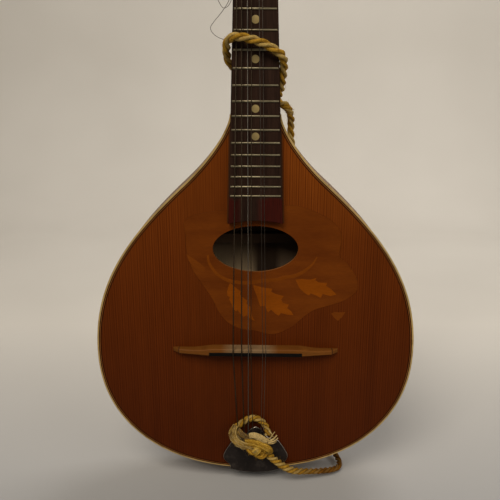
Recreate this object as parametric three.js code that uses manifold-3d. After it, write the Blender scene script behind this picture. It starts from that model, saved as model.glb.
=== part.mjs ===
// A flat-backed, pear-shaped mandolin with a floating bridge, four-on-a-plate tuners and a rope strap.
// Millimetres. +Z runs up the neck, the soundboard faces -Y, +X is the treble side.
// The origin is the middle of the tail end of the body, where a stand carries it.
import * as THREE from "three";
import { mergeVertices } from "three/addons/utils/BufferGeometryUtils.js";
import Module from "manifold-3d";

const wasm = await Module();
wasm.setup();

// ---- Driving dimensions ----
const SCALE_LENGTH = 330; // nut to the ideal saddle place
const NUT_Z = 456; // the nut's face, above the tail end
const fretZ = (fret) => NUT_Z - SCALE_LENGTH * (1 - 2 ** (-fret / 12));
const BODY_TOP_Z = fretZ(10) + 0.8; // where body and heel meet, at the tenth fret
const WIDEST_X = 135; // half the body's width
const WIDEST_Z = 115;
const BOUT_POWER = 2.2; // exponent of the superellipse that rounds the lower bout
const SHOULDER = { x: 57.8, z: 257.4, slope: 1.08 }; // the turning point between bulge and flare
const SHOULDER_HANDLES = [64.5, 55.9, 34.7, 8]; // Bezier handles: widest, bulge end, flare start, neck
const NECK_JOIN_X = 20;

const FRONT_Y = -22; // outer face of the soundboard
const BACK_Y = 22; // outer face of the back
const TOP_THICK = 2.8;
const BACK_THICK = 3;
const RIM_THICK = 2.2;
const BINDING_WIDTH = 1.5;
const GLUE = 0.1; // joint line between glued pieces
const GAP = 0.3; // gap between pieces that only touch

const HOLE = { z: 204.5, across: 35, along: 19.5 }; // half-axes of the soundhole
const INLAY_THICK = 0.7;

const RISER = 1; // neck tongue between soundboard and fingerboard
const RISER_LIP = 1.3; // how far the tongue stands proud of the board on each side
const RISER_LIP_END_Z = 298; // from here the lip runs out to nothing
const RISER_LIP_FADE = 8;
const BOARD_THICK = 5;
const BOARD_WIDTH_NUT = 29.3;
const BOARD_TAPER = 0.0617; // widening for each millimetre away from the nut
const BOARD_END_Z = 227;
const BOARD_END_RISE = 2.5; // how far the concave end curves in
const FRET_CROWN = 1;
const NECK_DEPTH = 15; // behind the fingerboard
const HEEL_DEPTH = 43;
const HEEL_TOP_Z = 335;
const HEEL_CAP_THICK = 2.3;

const NUT_LENGTH = 5;
const HEADSTOCK_TILT = 12; // degrees
const HEADSTOCK_LENGTH = 118;
const HEADSTOCK_THICK = 12;
const VENEER_THICK = 1.5;
const POST_X = 14.5;
const POST_FIRST_Z = 24; // first post, above the headstock's foot
const POST_PITCH = 23;
const POST_RADIUS = 3;
const POST_HOLE_RADIUS = 3.7;
const POST_PROUD = 14; // post length in front of the headstock
const GEAR_TEETH = 14;
const GEAR_RADIUS = 5.2;
const GEAR_ROOT = 4.3;
const WORM_RADIUS = 2;
const WORM_OFFSET = 7.6; // post axis to worm axis
const WORM_BACK = 3.5; // worm axis behind the headstock's back
const SHAFT_RADIUS = 1.2;
const EAR_BORE_RADIUS = 1.6;
const PLATE_THICK = 1.2;

const BRIDGE_Z = 114.4; // tail side of the bridge's top edge
const BRIDGE_TOP_DEPTH = 4.8;
const BRIDGE_HEIGHT = 10;
const BRIDGE_HALF = 68;
const SADDLE_HALF = 39;
const SADDLE_DEPTH = 3.2;
const SADDLE_RISE = 0.7;
const SADDLE_SEAT_DEPTH = 4;

const STRING_AT_SADDLE = [-18.8, -11.6, -6, -3.9, 6, 8.5];
const STRING_AT_NUT = [-12.3, -9.6, -5.8, -2.6, 1.8, 4.2];
const STRING_AT_TAIL = [-14.9, -9.8, -6.4, -2.3, 4.7, 6.8];
const STRING_RADIUS = [0.5, 0.5, 0.36, 0.36, 0.22, 0.22];
const STRING_POST = [0, 1, 2, 3, 7, 6]; // the post that each string winds on
const POST_WRAP = [7.8, 4.5, 5, 4]; // height of the winding on each of the four posts of a side
const SADDLE_CLEAR = 0.5; // string over saddle, so that the bridge can slide
const HOOK_Y = -28;
const HOOK_Z = [31, 31, 36, 36, 36, 36]; // the two bass strings hang lower

const ROPE_RADIUS = 3;
const WIRE_RADIUS = 0.2;

const OUTLINE_STEPS = 18; // steps round a quarter of the lower bout, and along a shoulder

// ---- Finishes ----
const finish = (color, roughness, metalness = 0) =>
  new THREE.MeshStandardMaterial({ color, roughness, metalness });
const SPRUCE = finish(0x9c4f14, 0.35);
const INNER_SPRUCE = finish(0xb98a55, 0.8);
const MAPLE = finish(0xb98346, 0.4);
const BINDING = finish(0xd9b777, 0.45);
const NECK_WOOD = finish(0x6b4426, 0.45);
const ROSEWOOD = finish(0x4a3230, 0.55);
const EBONY = finish(0x1c1a1a, 0.4);
const BRIDGE_WOOD = finish(0xc08a4a, 0.45);
const BONE = finish(0xe4dcc2, 0.5);
const INLAY = finish(0xa86426, 0.35);
const TARNISHED = finish(0x3c3833, 0.45, 0.8);
const STEEL = finish(0xb8b4aa, 0.3, 1);
const IVOROID = finish(0xe6dcc0, 0.4);
const ROPE = finish(0xbd8d35, 0.9);

// ---- Solids ----
const mandolin = new THREE.Group();

function add(name, geometry, material, group = mandolin) {
  const mesh = new THREE.Mesh(geometry, material);
  mesh.name = name;
  group.add(mesh);
}

function solid(geometry) {
  const bare = geometry.clone();
  bare.deleteAttribute("normal");
  bare.deleteAttribute("uv");
  const merged = mergeVertices(bare, 1e-4);
  return new wasm.Manifold(
    new wasm.Mesh({
      numProp: 3,
      vertProperties: merged.attributes.position.array,
      triVerts: new Uint32Array(merged.index.array),
    }),
  );
}

function geometryOf(manifold) {
  const mesh = manifold.getMesh();
  const geometry = new THREE.BufferGeometry();
  geometry.setAttribute("position", new THREE.BufferAttribute(mesh.vertProperties, 3));
  geometry.setIndex(new THREE.BufferAttribute(mesh.triVerts, 1));
  return geometry;
}

const join = (...geometries) => geometryOf(geometries.map(solid).reduce((a, b) => a.add(b)));

const cut = (geometry, ...tools) =>
  geometryOf(tools.map(solid).reduce((a, b) => a.subtract(b), solid(geometry)));

// A shape drawn in X and Z, as a slab between two Y planes.
function slab(shape, fromY, toY) {
  const geometry = new THREE.ExtrudeGeometry(shape, { depth: toY - fromY, bevelEnabled: false });
  return geometry.rotateX(Math.PI / 2).translate(0, toY, 0);
}

function box(x0, x1, y0, y1, z0, z1) {
  const geometry = new THREE.BoxGeometry(x1 - x0, y1 - y0, z1 - z0);
  return geometry.translate((x0 + x1) / 2, (y0 + y1) / 2, (z0 + z1) / 2);
}

// A round tube along a smooth curve through the points.
function tube(points, radius, sides, steps) {
  const section = new THREE.Shape();
  for (let i = 0; i < sides; i++) {
    const turn = (2 * Math.PI * i) / sides;
    const [x, y] = [radius * Math.cos(turn), radius * Math.sin(turn)];
    if (i) section.lineTo(x, y);
    else section.moveTo(x, y);
  }
  const stations = points.map((p) => new THREE.Vector3(...p));
  const curve = new THREE.CatmullRomCurve3(stations, false, "centripetal");
  return new THREE.ExtrudeGeometry(section, { steps, bevelEnabled: false, extrudePath: curve });
}

// A solid through closed rings of equal point count, with flat ends.
function loft(rings) {
  const count = rings[0].length;
  const positions = rings.flat(2);
  const faces = [];
  for (let r = 0; r + 1 < rings.length; r++)
    for (let i = 0; i < count; i++) {
      const [a, b] = [r * count + i, r * count + ((i + 1) % count)];
      faces.push(a, b, a + count, b, b + count, a + count);
    }
  const last = (rings.length - 1) * count;
  for (let i = 1; i + 1 < count; i++) faces.push(0, i + 1, i, last, last + i, last + i + 1);
  const geometry = new THREE.BufferGeometry();
  geometry.setAttribute("position", new THREE.Float32BufferAttribute(positions, 3));
  geometry.setIndex(faces);
  return geometry;
}

// ---- Body outline ----
function halfOutline() {
  const points = [];
  for (let i = 0; i <= OUTLINE_STEPS; i++) {
    const turn = (Math.PI / 2) * (i / OUTLINE_STEPS);
    const x = WIDEST_X * Math.pow(Math.sin(turn), 2 / BOUT_POWER);
    const z = WIDEST_Z * (1 - Math.pow(Math.cos(turn), 2 / BOUT_POWER));
    points.push(new THREE.Vector2(x, z));
  }
  const [widest, bulge, flare, neck] = SHOULDER_HANDLES;
  const along = new THREE.Vector2(-SHOULDER.slope, 1).normalize();
  const turning = new THREE.Vector2(SHOULDER.x, SHOULDER.z);
  const upper = new THREE.CurvePath();
  upper.add(
    new THREE.CubicBezierCurve(
      new THREE.Vector2(WIDEST_X, WIDEST_Z),
      new THREE.Vector2(WIDEST_X, WIDEST_Z + widest),
      turning.clone().addScaledVector(along, -bulge),
      turning,
    ),
  );
  upper.add(
    new THREE.CubicBezierCurve(
      turning,
      turning.clone().addScaledVector(along, flare),
      new THREE.Vector2(NECK_JOIN_X, BODY_TOP_Z - neck),
      new THREE.Vector2(NECK_JOIN_X, BODY_TOP_Z),
    ),
  );
  points.push(...upper.getSpacedPoints(OUTLINE_STEPS).slice(1));
  return points;
}

const OUTLINE = halfOutline();

// The half outline moved inwards. Its ends stay on the centre line and on the neck joint.
function inset(distance) {
  const last = OUTLINE.length - 1;
  return OUTLINE.map((p, i) => {
    const before = OUTLINE[Math.max(0, i - 1)];
    const after = OUTLINE[Math.min(last, i + 1)];
    const along = i === 0 ? new THREE.Vector2(1, 0) : after.clone().sub(before).normalize();
    if (i === last) along.set(0, 1);
    return new THREE.Vector2(p.x - along.y * distance, p.y + along.x * distance);
  });
}

const mirrored = (points) => points.map((p) => new THREE.Vector2(-p.x, p.y));

// The full outline, moved inwards, as a closed list that starts at the tail.
function bodyOutline(distance) {
  const right = inset(distance);
  return [...right, ...mirrored(right.slice(1)).reverse()];
}

function halfWidthAt(z, distance) {
  const side = inset(distance);
  const i = side.findIndex((p, k) => k > OUTLINE_STEPS / 2 && p.y >= z);
  const [a, b] = [side[i - 1], side[i]];
  return a.x + ((b.x - a.x) * (z - a.y)) / (b.y - a.y);
}

function holePath(grow) {
  const path = new THREE.Path();
  path.absellipse(0, HOLE.z, HOLE.across + grow, HOLE.along + grow, 0, 2 * Math.PI, true);
  return path;
}

// A strip between two insets along one side, from outline point `first` to point `last`.
function sideStrip(outer, inner, first, last, side, fromY, toY) {
  const outside = inset(outer).slice(first, last + 1);
  const inside = inset(inner).slice(first, last + 1).reverse();
  const points = [...outside, ...inside];
  return slab(new THREE.Shape(side > 0 ? points : mirrored(points).reverse()), fromY, toY);
}

const TOP_INNER_Y = FRONT_Y + TOP_THICK + GLUE;
const BACK_INNER_Y = BACK_Y - BACK_THICK - GLUE;
const TAIL_BLOCK_HALF = 22;
const NECK_BLOCK_Z = 286;
const LINING_WIDTH = 5;
const LINING_DEPTH = 6;
const BRACE_HEIGHT = 10;
const END_PIN_RADIUS = 4;

const endPinBore = () =>
  new THREE.CylinderGeometry(END_PIN_RADIUS + GAP, END_PIN_RADIUS + GAP, 60, 12).rotateX(Math.PI / 2);

// ---- Marquetry scratch plate around the soundhole ----
function inlayShape(shrink) {
  const centre = new THREE.Vector2(10, 175);
  const corners = [
    [-50, 233], [-57, 215], [-54, 192], [-46, 177], [-37, 163], [-31, 150], [-24, 141], [-12, 134.5],
    [0, 132.8], [11, 129.8], [20, 131], [31.5, 137], [39, 144], [49, 151.4], [60, 155], [74, 160],
    [84, 168], [84, 179],
    [76, 192], [69, 199], [70, 216], [62, 228], [42, 238], [20, 241],
  ];
  const points = corners.map(([x, z]) => {
    const p = new THREE.Vector2(x, z).sub(centre);
    return p.setLength(p.length() - shrink).add(centre);
  });
  const shape = new THREE.Shape();
  shape.setFromPoints(new THREE.SplineCurve([...points, points[0]]).getPoints(44).slice(0, -1));
  return shape;
}

function inlaySlab(shrink, grow, toY) {
  const shape = inlayShape(shrink);
  shape.holes.push(holePath(grow));
  return slab(shape, FRONT_Y, toY);
}

// ---- Body ----
function buildSoundboard() {
  const shape = new THREE.Shape(bodyOutline(BINDING_WIDTH + GLUE));
  shape.holes.push(holePath(0));
  const board = slab(shape, FRONT_Y, FRONT_Y + TOP_THICK);
  const pocket = slab(inlayShape(0), FRONT_Y - 1, FRONT_Y + INLAY_THICK + GLUE);
  add("soundboard", cut(board, pocket), SPRUCE);
  add("pickguard_inlay", inlaySlab(GAP, 0, FRONT_Y + INLAY_THICK), INLAY);
}

function buildBack() {
  const shape = new THREE.Shape(bodyOutline(BINDING_WIDTH + GLUE));
  add("back_plate", slab(shape, BACK_Y - BACK_THICK, BACK_Y), MAPLE);
}

// An edge binding is one strip bent round the outline, open at the neck joint.
function buildBindings() {
  const outside = inset(0);
  const inside = inset(BINDING_WIDTH);
  const outer = [...mirrored(outside.slice(1)).reverse(), ...outside];
  const inner = [...mirrored(inside.slice(1)).reverse(), ...inside].reverse();
  const shape = new THREE.Shape([...outer, ...inner]);
  add("top_binding", slab(shape, FRONT_Y, FRONT_Y + TOP_THICK), BINDING);
  add("back_binding", slab(shape, BACK_Y - BACK_THICK, BACK_Y), BINDING);
}

function buildSides() {
  const first = OUTLINE.findIndex((p) => p.x > TAIL_BLOCK_HALF + 5);
  const last = OUTLINE.findIndex((p) => p.y > NECK_BLOCK_Z - 12) - 1;
  const [outer, inner] = [RIM_THICK + 2 * GLUE, RIM_THICK + LINING_WIDTH];
  for (const [side, word] of [[-1, "left"], [1, "right"]]) {
    const strip = sideStrip(0, RIM_THICK, 0, OUTLINE.length - 1, side, TOP_INNER_Y, BACK_INNER_Y);
    add(`${word}_rim`, cut(strip.translate((side * GLUE) / 2, 0, 0), endPinBore()), MAPLE);
    const top = sideStrip(outer, inner, first, last, side, TOP_INNER_Y, TOP_INNER_Y + LINING_DEPTH);
    add(`top_lining_${word}`, top, INNER_SPRUCE);
    const back = sideStrip(outer, inner, first, last, side, BACK_INNER_Y - LINING_DEPTH, BACK_INNER_Y);
    add(`back_lining_${word}`, back, INNER_SPRUCE);
  }
}

function buildInside() {
  const [front, back] = [TOP_INNER_Y, BACK_INNER_Y];
  add("neck_block", box(-15.5, 15.5, front, back, NECK_BLOCK_Z, BODY_TOP_Z - GAP), INNER_SPRUCE);
  const tailBlock = box(-TAIL_BLOCK_HALF, TAIL_BLOCK_HALF, front, back, 4, 24);
  add("tail_block", cut(tailBlock, endPinBore()), INNER_SPRUCE);
  const braces = [
    ["top_brace_upper", 238, front, 1],
    ["top_brace_lower", 166, front, 1],
    ["back_brace_upper", 206, back, -1],
    ["back_brace_lower", 96, back, -1],
  ];
  const width = 8;
  const tip = 2.5; // height of a brace at its thin ends
  const inner = RIM_THICK + LINING_WIDTH + 2 * GAP;
  for (const [name, z, foot, inwards] of braces) {
    const reach = Math.min(halfWidthAt(z + width / 2, inner), halfWidthAt(z - width / 2, inner));
    const bar = new THREE.Shape();
    const crest = foot + inwards * BRACE_HEIGHT;
    const shoulder = foot + inwards * tip;
    bar.moveTo(-reach, foot);
    bar.lineTo(reach, foot);
    bar.lineTo(reach, shoulder);
    bar.lineTo(reach - 22, crest);
    bar.lineTo(22 - reach, crest);
    bar.lineTo(-reach, shoulder);
    const geometry = new THREE.ExtrudeGeometry(bar, { depth: width, bevelEnabled: false });
    add(name, geometry.translate(0, 0, z - width / 2), INNER_SPRUCE);
  }
}

// ---- Neck, fingerboard and headstock ----
const boardHalf = (z) => (BOARD_WIDTH_NUT + BOARD_TAPER * (NUT_Z - z)) / 2;
const NECK_Y = FRONT_Y - RISER; // the glue plane between neck and fingerboard
const BOARD_Y = NECK_Y - BOARD_THICK;
const NUT_TOP_Y = BOARD_Y - FRET_CROWN - GAP;

// One D-shaped section of the neck: flat in front, rounded behind.
function neckSection(z, depth) {
  const half = boardHalf(z);
  const count = 14;
  const ring = [];
  for (let i = 0; i <= count; i++) {
    const turn = (Math.PI * i) / count;
    ring.push([half * Math.cos(turn), NECK_Y + depth * Math.pow(Math.sin(turn), 0.8), z]);
  }
  return ring;
}

function neckShaft() {
  const rings = [];
  const heelSteps = 6;
  for (let i = 0; i <= heelSteps; i++) {
    const t = i / heelSteps;
    const z = BODY_TOP_Z + GLUE + (HEEL_TOP_Z - BODY_TOP_Z) * t;
    rings.push(neckSection(z, NECK_DEPTH + (HEEL_DEPTH - NECK_DEPTH) * (1 - t) * (1 - t)));
  }
  rings.push(neckSection(fretZ(3), NECK_DEPTH - 1));
  rings.push(neckSection(NUT_Z + NUT_LENGTH + GLUE, NECK_DEPTH - 1));
  return loft(rings);
}

// The headstock lies in a group of its own: its face is the plane y = 0 and its foot is z = 0.
const headstock = new THREE.Group();
headstock.position.set(0, NECK_Y, NUT_Z + NUT_LENGTH + GAP);
headstock.rotation.x = THREE.MathUtils.degToRad(-HEADSTOCK_TILT);
headstock.updateMatrix();
mandolin.add(headstock);

function headstockShape(foot) {
  const shape = new THREE.Shape();
  const half = BOARD_WIDTH_NUT / 2;
  const top = HEADSTOCK_LENGTH;
  shape.moveTo(-half, foot);
  shape.lineTo(half, foot);
  shape.bezierCurveTo(half, 6, 24, 8, 24.5, 17);
  shape.lineTo(26, top - 22);
  shape.bezierCurveTo(26.5, top - 8, 18, top - 4, 11, top - 5);
  shape.quadraticCurveTo(6, top - 5, 0, top);
  shape.quadraticCurveTo(-6, top - 5, -11, top - 5);
  shape.bezierCurveTo(-18, top - 4, -26.5, top - 8, -26, top - 22);
  shape.lineTo(-24.5, 17);
  shape.bezierCurveTo(-24, 8, -half, 6, -half, foot);
  return shape;
}

const postPlaces = [];
for (let i = 0; i < 8; i++) {
  const side = i < 4 ? -1 : 1;
  postPlaces.push({ side, x: side * POST_X, z: POST_FIRST_Z + POST_PITCH * (i % 4) });
}

const postBores = () =>
  postPlaces.map(({ x, z }) =>
    new THREE.CylinderGeometry(POST_HOLE_RADIUS, POST_HOLE_RADIUS, 40, 10).translate(x, 0, z),
  );

function slabOfHeadstock(shape, fromY, toY) {
  const options = { depth: toY - fromY, bevelEnabled: false, curveSegments: 6 };
  return new THREE.ExtrudeGeometry(shape, options).rotateX(Math.PI / 2).translate(0, toY, 0);
}

function buildNeck() {
  const paddle = slabOfHeadstock(headstockShape(0), 0, HEADSTOCK_THICK);
  const bored = cut(paddle, ...postBores()).applyMatrix4(headstock.matrix);
  const tongueHalf = (z) => boardHalf(z) + RISER_LIP;
  const tongueTop = BODY_TOP_Z + 4;
  const lipGoneZ = RISER_LIP_END_Z + RISER_LIP_FADE;
  const tongue = new THREE.Shape();
  tongue.moveTo(tongueHalf(BOARD_END_Z), BOARD_END_Z);
  tongue.lineTo(tongueHalf(RISER_LIP_END_Z), RISER_LIP_END_Z);
  tongue.lineTo(boardHalf(lipGoneZ), lipGoneZ);
  tongue.lineTo(boardHalf(tongueTop), tongueTop);
  tongue.lineTo(-boardHalf(tongueTop), tongueTop);
  tongue.lineTo(-boardHalf(lipGoneZ), lipGoneZ);
  tongue.lineTo(-tongueHalf(RISER_LIP_END_Z), RISER_LIP_END_Z);
  tongue.lineTo(-tongueHalf(BOARD_END_Z), BOARD_END_Z);
  tongue.quadraticCurveTo(0, BOARD_END_Z + 2 * BOARD_END_RISE, tongueHalf(BOARD_END_Z), BOARD_END_Z);
  const riser = slab(tongue, NECK_Y, FRONT_Y - GLUE);
  add("neck", join(neckShaft(), riser, bored), NECK_WOOD);
  const heelEnd = NECK_Y + HEEL_DEPTH;
  const heelFoot = BODY_TOP_Z + GLUE;
  add("heel_cap", box(-7, 7, heelEnd + GAP, heelEnd + HEEL_CAP_THICK, heelFoot, heelFoot + 4), EBONY);
}

function buildFingerboard() {
  const board = new THREE.Shape();
  board.moveTo(boardHalf(BOARD_END_Z), BOARD_END_Z);
  board.lineTo(boardHalf(NUT_Z), NUT_Z - GLUE);
  board.lineTo(-boardHalf(NUT_Z), NUT_Z - GLUE);
  board.lineTo(-boardHalf(BOARD_END_Z), BOARD_END_Z);
  board.quadraticCurveTo(0, BOARD_END_Z + 2 * BOARD_END_RISE, boardHalf(BOARD_END_Z), BOARD_END_Z);
  add("fingerboard", slab(board, BOARD_Y, NECK_Y - GLUE), ROSEWOOD);
  const half = BOARD_WIDTH_NUT / 2;
  add("nut", box(-half, half, NUT_TOP_Y, NECK_Y - GLUE, NUT_Z, NUT_Z + NUT_LENGTH), BONE);
}

function buildVeneer() {
  const sheet = slabOfHeadstock(headstockShape(GAP), -VENEER_THICK, -GLUE);
  add("headstock_veneer", cut(sheet, ...postBores()), ROSEWOOD, headstock);
}

// ---- Tuners, in the headstock's own frame ----
const WORM_Y = HEADSTOCK_THICK + WORM_BACK;

function gearShape() {
  const shape = new THREE.Shape();
  for (let i = 0; i < 2 * GEAR_TEETH; i++) {
    const turn = (Math.PI * i) / GEAR_TEETH;
    const radius = i % 2 ? GEAR_ROOT : GEAR_RADIUS;
    const [x, y] = [radius * Math.cos(turn), radius * Math.sin(turn)];
    if (i) shape.lineTo(x, y);
    else shape.moveTo(x, y);
  }
  return shape;
}

function postGeometry() {
  const length = POST_PROUD + HEADSTOCK_THICK + PLATE_THICK + 1.5;
  const post = new THREE.CylinderGeometry(POST_RADIUS, POST_RADIUS, length, 12);
  post.translate(0, length / 2 - POST_PROUD, 0);
  const gear = new THREE.ExtrudeGeometry(gearShape(), { depth: 3, bevelEnabled: false });
  gear.rotateX(Math.PI / 2).translate(0, WORM_Y + 1.5, 0);
  return join(post, gear);
}

// The worm shaft with its button, along +X from the inner journal.
function buttonGeometry() {
  const profile = [
    [0, 6.5], [SHAFT_RADIUS, 6.5], [SHAFT_RADIUS, 9.9], [WORM_RADIUS, 9.9], [WORM_RADIUS, 19.3],
    [SHAFT_RADIUS, 19.3], [SHAFT_RADIUS, 35], [0, 35],
  ];
  const shaft = new THREE.LatheGeometry(profile.map(([r, x]) => new THREE.Vector2(r, x)), 8);
  shaft.rotateZ(-Math.PI / 2);
  const button = new THREE.SphereGeometry(1, 8, 6);
  button.rotateZ(Math.PI / 2).scale(7, 3.6, 7.5).translate(39, 0, 0);
  return join(shaft, button);
}

function plateGeometry() {
  const back = HEADSTOCK_THICK;
  const foot = POST_FIRST_Z - 7;
  const head = POST_FIRST_Z + 3 * POST_PITCH + 15;
  const plate = box(7.6, 21.4, back + GLUE, back + PLATE_THICK, foot, head);
  const ears = [];
  const bores = [];
  for (let i = 0; i < 4; i++) {
    const postZ = POST_FIRST_Z + i * POST_PITCH;
    const wormZ = postZ + WORM_OFFSET;
    for (const [x0, x1] of [[8.2, 9.5], [19.7, 21]])
      ears.push(box(x0, x1, back + PLATE_THICK - 0.2, WORM_Y + 3, wormZ - 3, wormZ + 3));
    const journal = new THREE.CylinderGeometry(EAR_BORE_RADIUS, EAR_BORE_RADIUS, 30, 6);
    bores.push(journal.rotateZ(Math.PI / 2).translate(POST_X, WORM_Y, wormZ));
    const hole = new THREE.CylinderGeometry(POST_HOLE_RADIUS, POST_HOLE_RADIUS, 8, 10);
    bores.push(hole.translate(POST_X, back + 1, postZ));
  }
  return cut(join(plate, ...ears), ...bores);
}

function buildTuners() {
  postPlaces.forEach(({ side, x, z }, i) => {
    const post = new THREE.Group();
    post.position.set(x, 0, z);
    headstock.add(post);
    add(`string_post_${i + 1}`, postGeometry(), STEEL, post);
    const shaft = new THREE.Group();
    shaft.position.set(0, WORM_Y, z + WORM_OFFSET);
    if (side < 0) shaft.rotation.y = Math.PI;
    headstock.add(shaft);
    add(`tuner_button_${i + 1}`, buttonGeometry(), IVOROID, shaft);
  });
  add("tuner_plate_treble", plateGeometry(), TARNISHED, headstock);
  const bass = new THREE.Group();
  bass.scale.set(-1, 1, 1);
  headstock.add(bass);
  add("tuner_plate_bass", plateGeometry(), TARNISHED, bass);
}

// ---- Bridge and tailpiece ----
function buildBridge() {
  const foot = FRONT_Y - GLUE;
  const top = foot - BRIDGE_HEIGHT;
  const front = new THREE.Shape();
  front.moveTo(-BRIDGE_HALF, foot);
  front.lineTo(BRIDGE_HALF, foot);
  front.quadraticCurveTo(BRIDGE_HALF + 1, foot - 5, BRIDGE_HALF - 5, foot - 5);
  front.bezierCurveTo(BRIDGE_HALF - 16, foot - 5, SADDLE_HALF + 8, top, SADDLE_HALF + 1, top);
  front.lineTo(-SADDLE_HALF - 1, top);
  front.bezierCurveTo(-SADDLE_HALF - 8, top, 16 - BRIDGE_HALF, foot - 5, 5 - BRIDGE_HALF, foot - 5);
  front.quadraticCurveTo(-BRIDGE_HALF - 1, foot - 5, -BRIDGE_HALF, foot);
  const blade = new THREE.ExtrudeGeometry(front, { depth: BRIDGE_TOP_DEPTH, bevelEnabled: false });
  blade.translate(0, 0, BRIDGE_Z);
  const heel = box(-50, 50, foot - 3, foot, BRIDGE_Z - 3, BRIDGE_Z + 1);
  const half = SADDLE_HALF + GLUE;
  const seatFloor = top + SADDLE_SEAT_DEPTH;
  const seat = box(-half, half, top - 1, seatFloor, BRIDGE_Z - 5, BRIDGE_Z + SADDLE_DEPTH + GLUE);
  add("bridge_base", cut(join(blade, heel), seat), BRIDGE_WOOD);
  const [low, high] = [top - SADDLE_RISE, seatFloor - GLUE];
  const saddle = box(-SADDLE_HALF, SADDLE_HALF, low, high, BRIDGE_Z + GLUE, BRIDGE_Z + SADDLE_DEPTH);
  add("bridge_saddle", saddle, EBONY);
}

function tailpieceShape() {
  const shape = new THREE.Shape();
  shape.moveTo(0, -3.6);
  shape.quadraticCurveTo(14, -3.4, 23, 0.5);
  shape.quadraticCurveTo(21.5, 4, 25, 6.5);
  shape.bezierCurveTo(30.5, 11, 29, 15, 26, 20);
  shape.quadraticCurveTo(22.5, 26, 20, 29);
  shape.quadraticCurveTo(12, 30, 8, 35);
  shape.quadraticCurveTo(4.5, 42, 0, 42.5);
  shape.quadraticCurveTo(-4.5, 42, -8, 35);
  shape.quadraticCurveTo(-12, 30, -20, 29);
  shape.quadraticCurveTo(-22.5, 26, -26, 20);
  shape.bezierCurveTo(-29, 15, -30.5, 11, -25, 6.5);
  shape.quadraticCurveTo(-21.5, 4, -23, 0.5);
  shape.quadraticCurveTo(-14, -3.4, 0, -3.6);
  return shape;
}

function buildTailpiece() {
  const [faceY, thick] = [FRONT_Y - 2, 1.2];
  const options = { depth: thick, bevelEnabled: false, curveSegments: 5 };
  const face = new THREE.ExtrudeGeometry(tailpieceShape(), options);
  face.rotateX(Math.PI / 2).translate(0, faceY + thick, 0);
  const lip = new THREE.Shape();
  lip.moveTo(-22.5, 0.3);
  lip.quadraticCurveTo(-14, -3.4, 0, -3.5);
  lip.quadraticCurveTo(14, -3.4, 22.5, 0.3);
  lip.quadraticCurveTo(14, -2, 0, -2.2);
  lip.quadraticCurveTo(-14, -2, -22.5, 0.3);
  const flange = slab(lip, faceY + 0.5, 9);
  const hooks = STRING_AT_TAIL.map((x, i) =>
    box(x - 0.6, x + 0.6, HOOK_Y - 1.2, faceY + 0.5, HOOK_Z[i] - 4, HOOK_Z[i] - 2.6),
  );
  add("tailpiece", cut(join(face, flange, ...hooks), endPinBore()), TARNISHED);
  const profile = [
    [0, 22], [END_PIN_RADIUS, 22], [END_PIN_RADIUS, -5], [7.5, -6], [8, -9], [5, -12], [0, -12],
  ];
  const pin = new THREE.LatheGeometry(profile.map(([r, z]) => new THREE.Vector2(r, z)).reverse(), 16);
  add("end_pin", pin.rotateX(Math.PI / 2), EBONY);
}

// ---- Strings ----
const SADDLE_TOP_Y = FRONT_Y - GLUE - BRIDGE_HEIGHT - SADDLE_RISE;

// Where a string leaves its post: at the inner side, a little clear of it.
function windingPlace(post, radius) {
  const { side, x, z } = postPlaces[post];
  const inner = x - side * (POST_RADIUS + GAP + radius);
  return new THREE.Vector3(inner, -POST_WRAP[post % 4], z).applyMatrix4(headstock.matrix);
}

function buildStrings() {
  const sides = 6;
  STRING_RADIUS.forEach((radius, i) => {
    const stations = [
      new THREE.Vector3(STRING_AT_TAIL[i], HOOK_Y, HOOK_Z[i]),
      new THREE.Vector3(STRING_AT_SADDLE[i], SADDLE_TOP_Y - SADDLE_CLEAR - radius, BRIDGE_Z + 2),
      new THREE.Vector3(STRING_AT_NUT[i], NUT_TOP_Y - GAP - radius, NUT_Z + NUT_LENGTH + GAP),
      windingPlace(STRING_POST[i], radius),
    ];
    const rings = stations.map((place) => {
      const ring = [];
      for (let s = 0; s < sides; s++) {
        const turn = (2 * Math.PI * s) / sides;
        ring.push([place.x + radius * Math.cos(turn), place.y + radius * Math.sin(turn), place.z]);
      }
      return ring;
    });
    add(`string_${i + 1}`, loft(rings), STEEL);
  });
}

// ---- Rope strap and broken string ----
const ROPE_ROUTE = [
  [11.2, -31, 19.4], [16, -30.2, 14.2], [21, -29.2, 9.4], [27, -28.2, 4.4], [34.5, -26.8, 0.2],
  [45, -24, -2.4], [59.6, -19, -5.4], [71, -14, -7.2], [77, -8, -8.4], [78.5, 0, -8.2],
  [76.5, 9, -7.4], [73.5, 19, -4.6], [72, 26.6, 4], [70.5, 28.6, 18], [67, 28.6, 45],
  [61, 28, 95], [54.5, 28, 135], [48, 28, 175], [42, 28, 215], [36.5, 28, 250],
  [32.5, 27.5, 275], [30.3, 26, 291], [29.9, 22.5, 300], [29.6, 17.5, 307.5],
  [27.8, 12.4, 313.2], [25, 9.6, 316.6], [22.6, 9, 318.2],
];
const NECK_LOOP_ROUTE = [
  [10.2, 5.3, 326.2], [4.5, 2.2, 331.8], [-2, -1.2, 338.4], [-9.5, -3.5, 343.8],
  [-16, -7, 346.8], [-20.4, -13, 351.5], [-21.8, -20, 358.5], [-21, -27.5, 364.4],
  [-17.8, -33.2, 367.5], [-12.4, -35.6, 368.1], [-1.8, -35.6, 366], [6.9, -35.4, 363],
  [14, -35, 359.2], [19.2, -32.2, 355.6], [21.2, -27, 350.8], [21.2, -21, 344.4],
  [20.6, -15.5, 338], [20, -8.8, 332], [18.8, -3, 327.6], [17.6, 1.2, 324.2],
];
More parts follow.
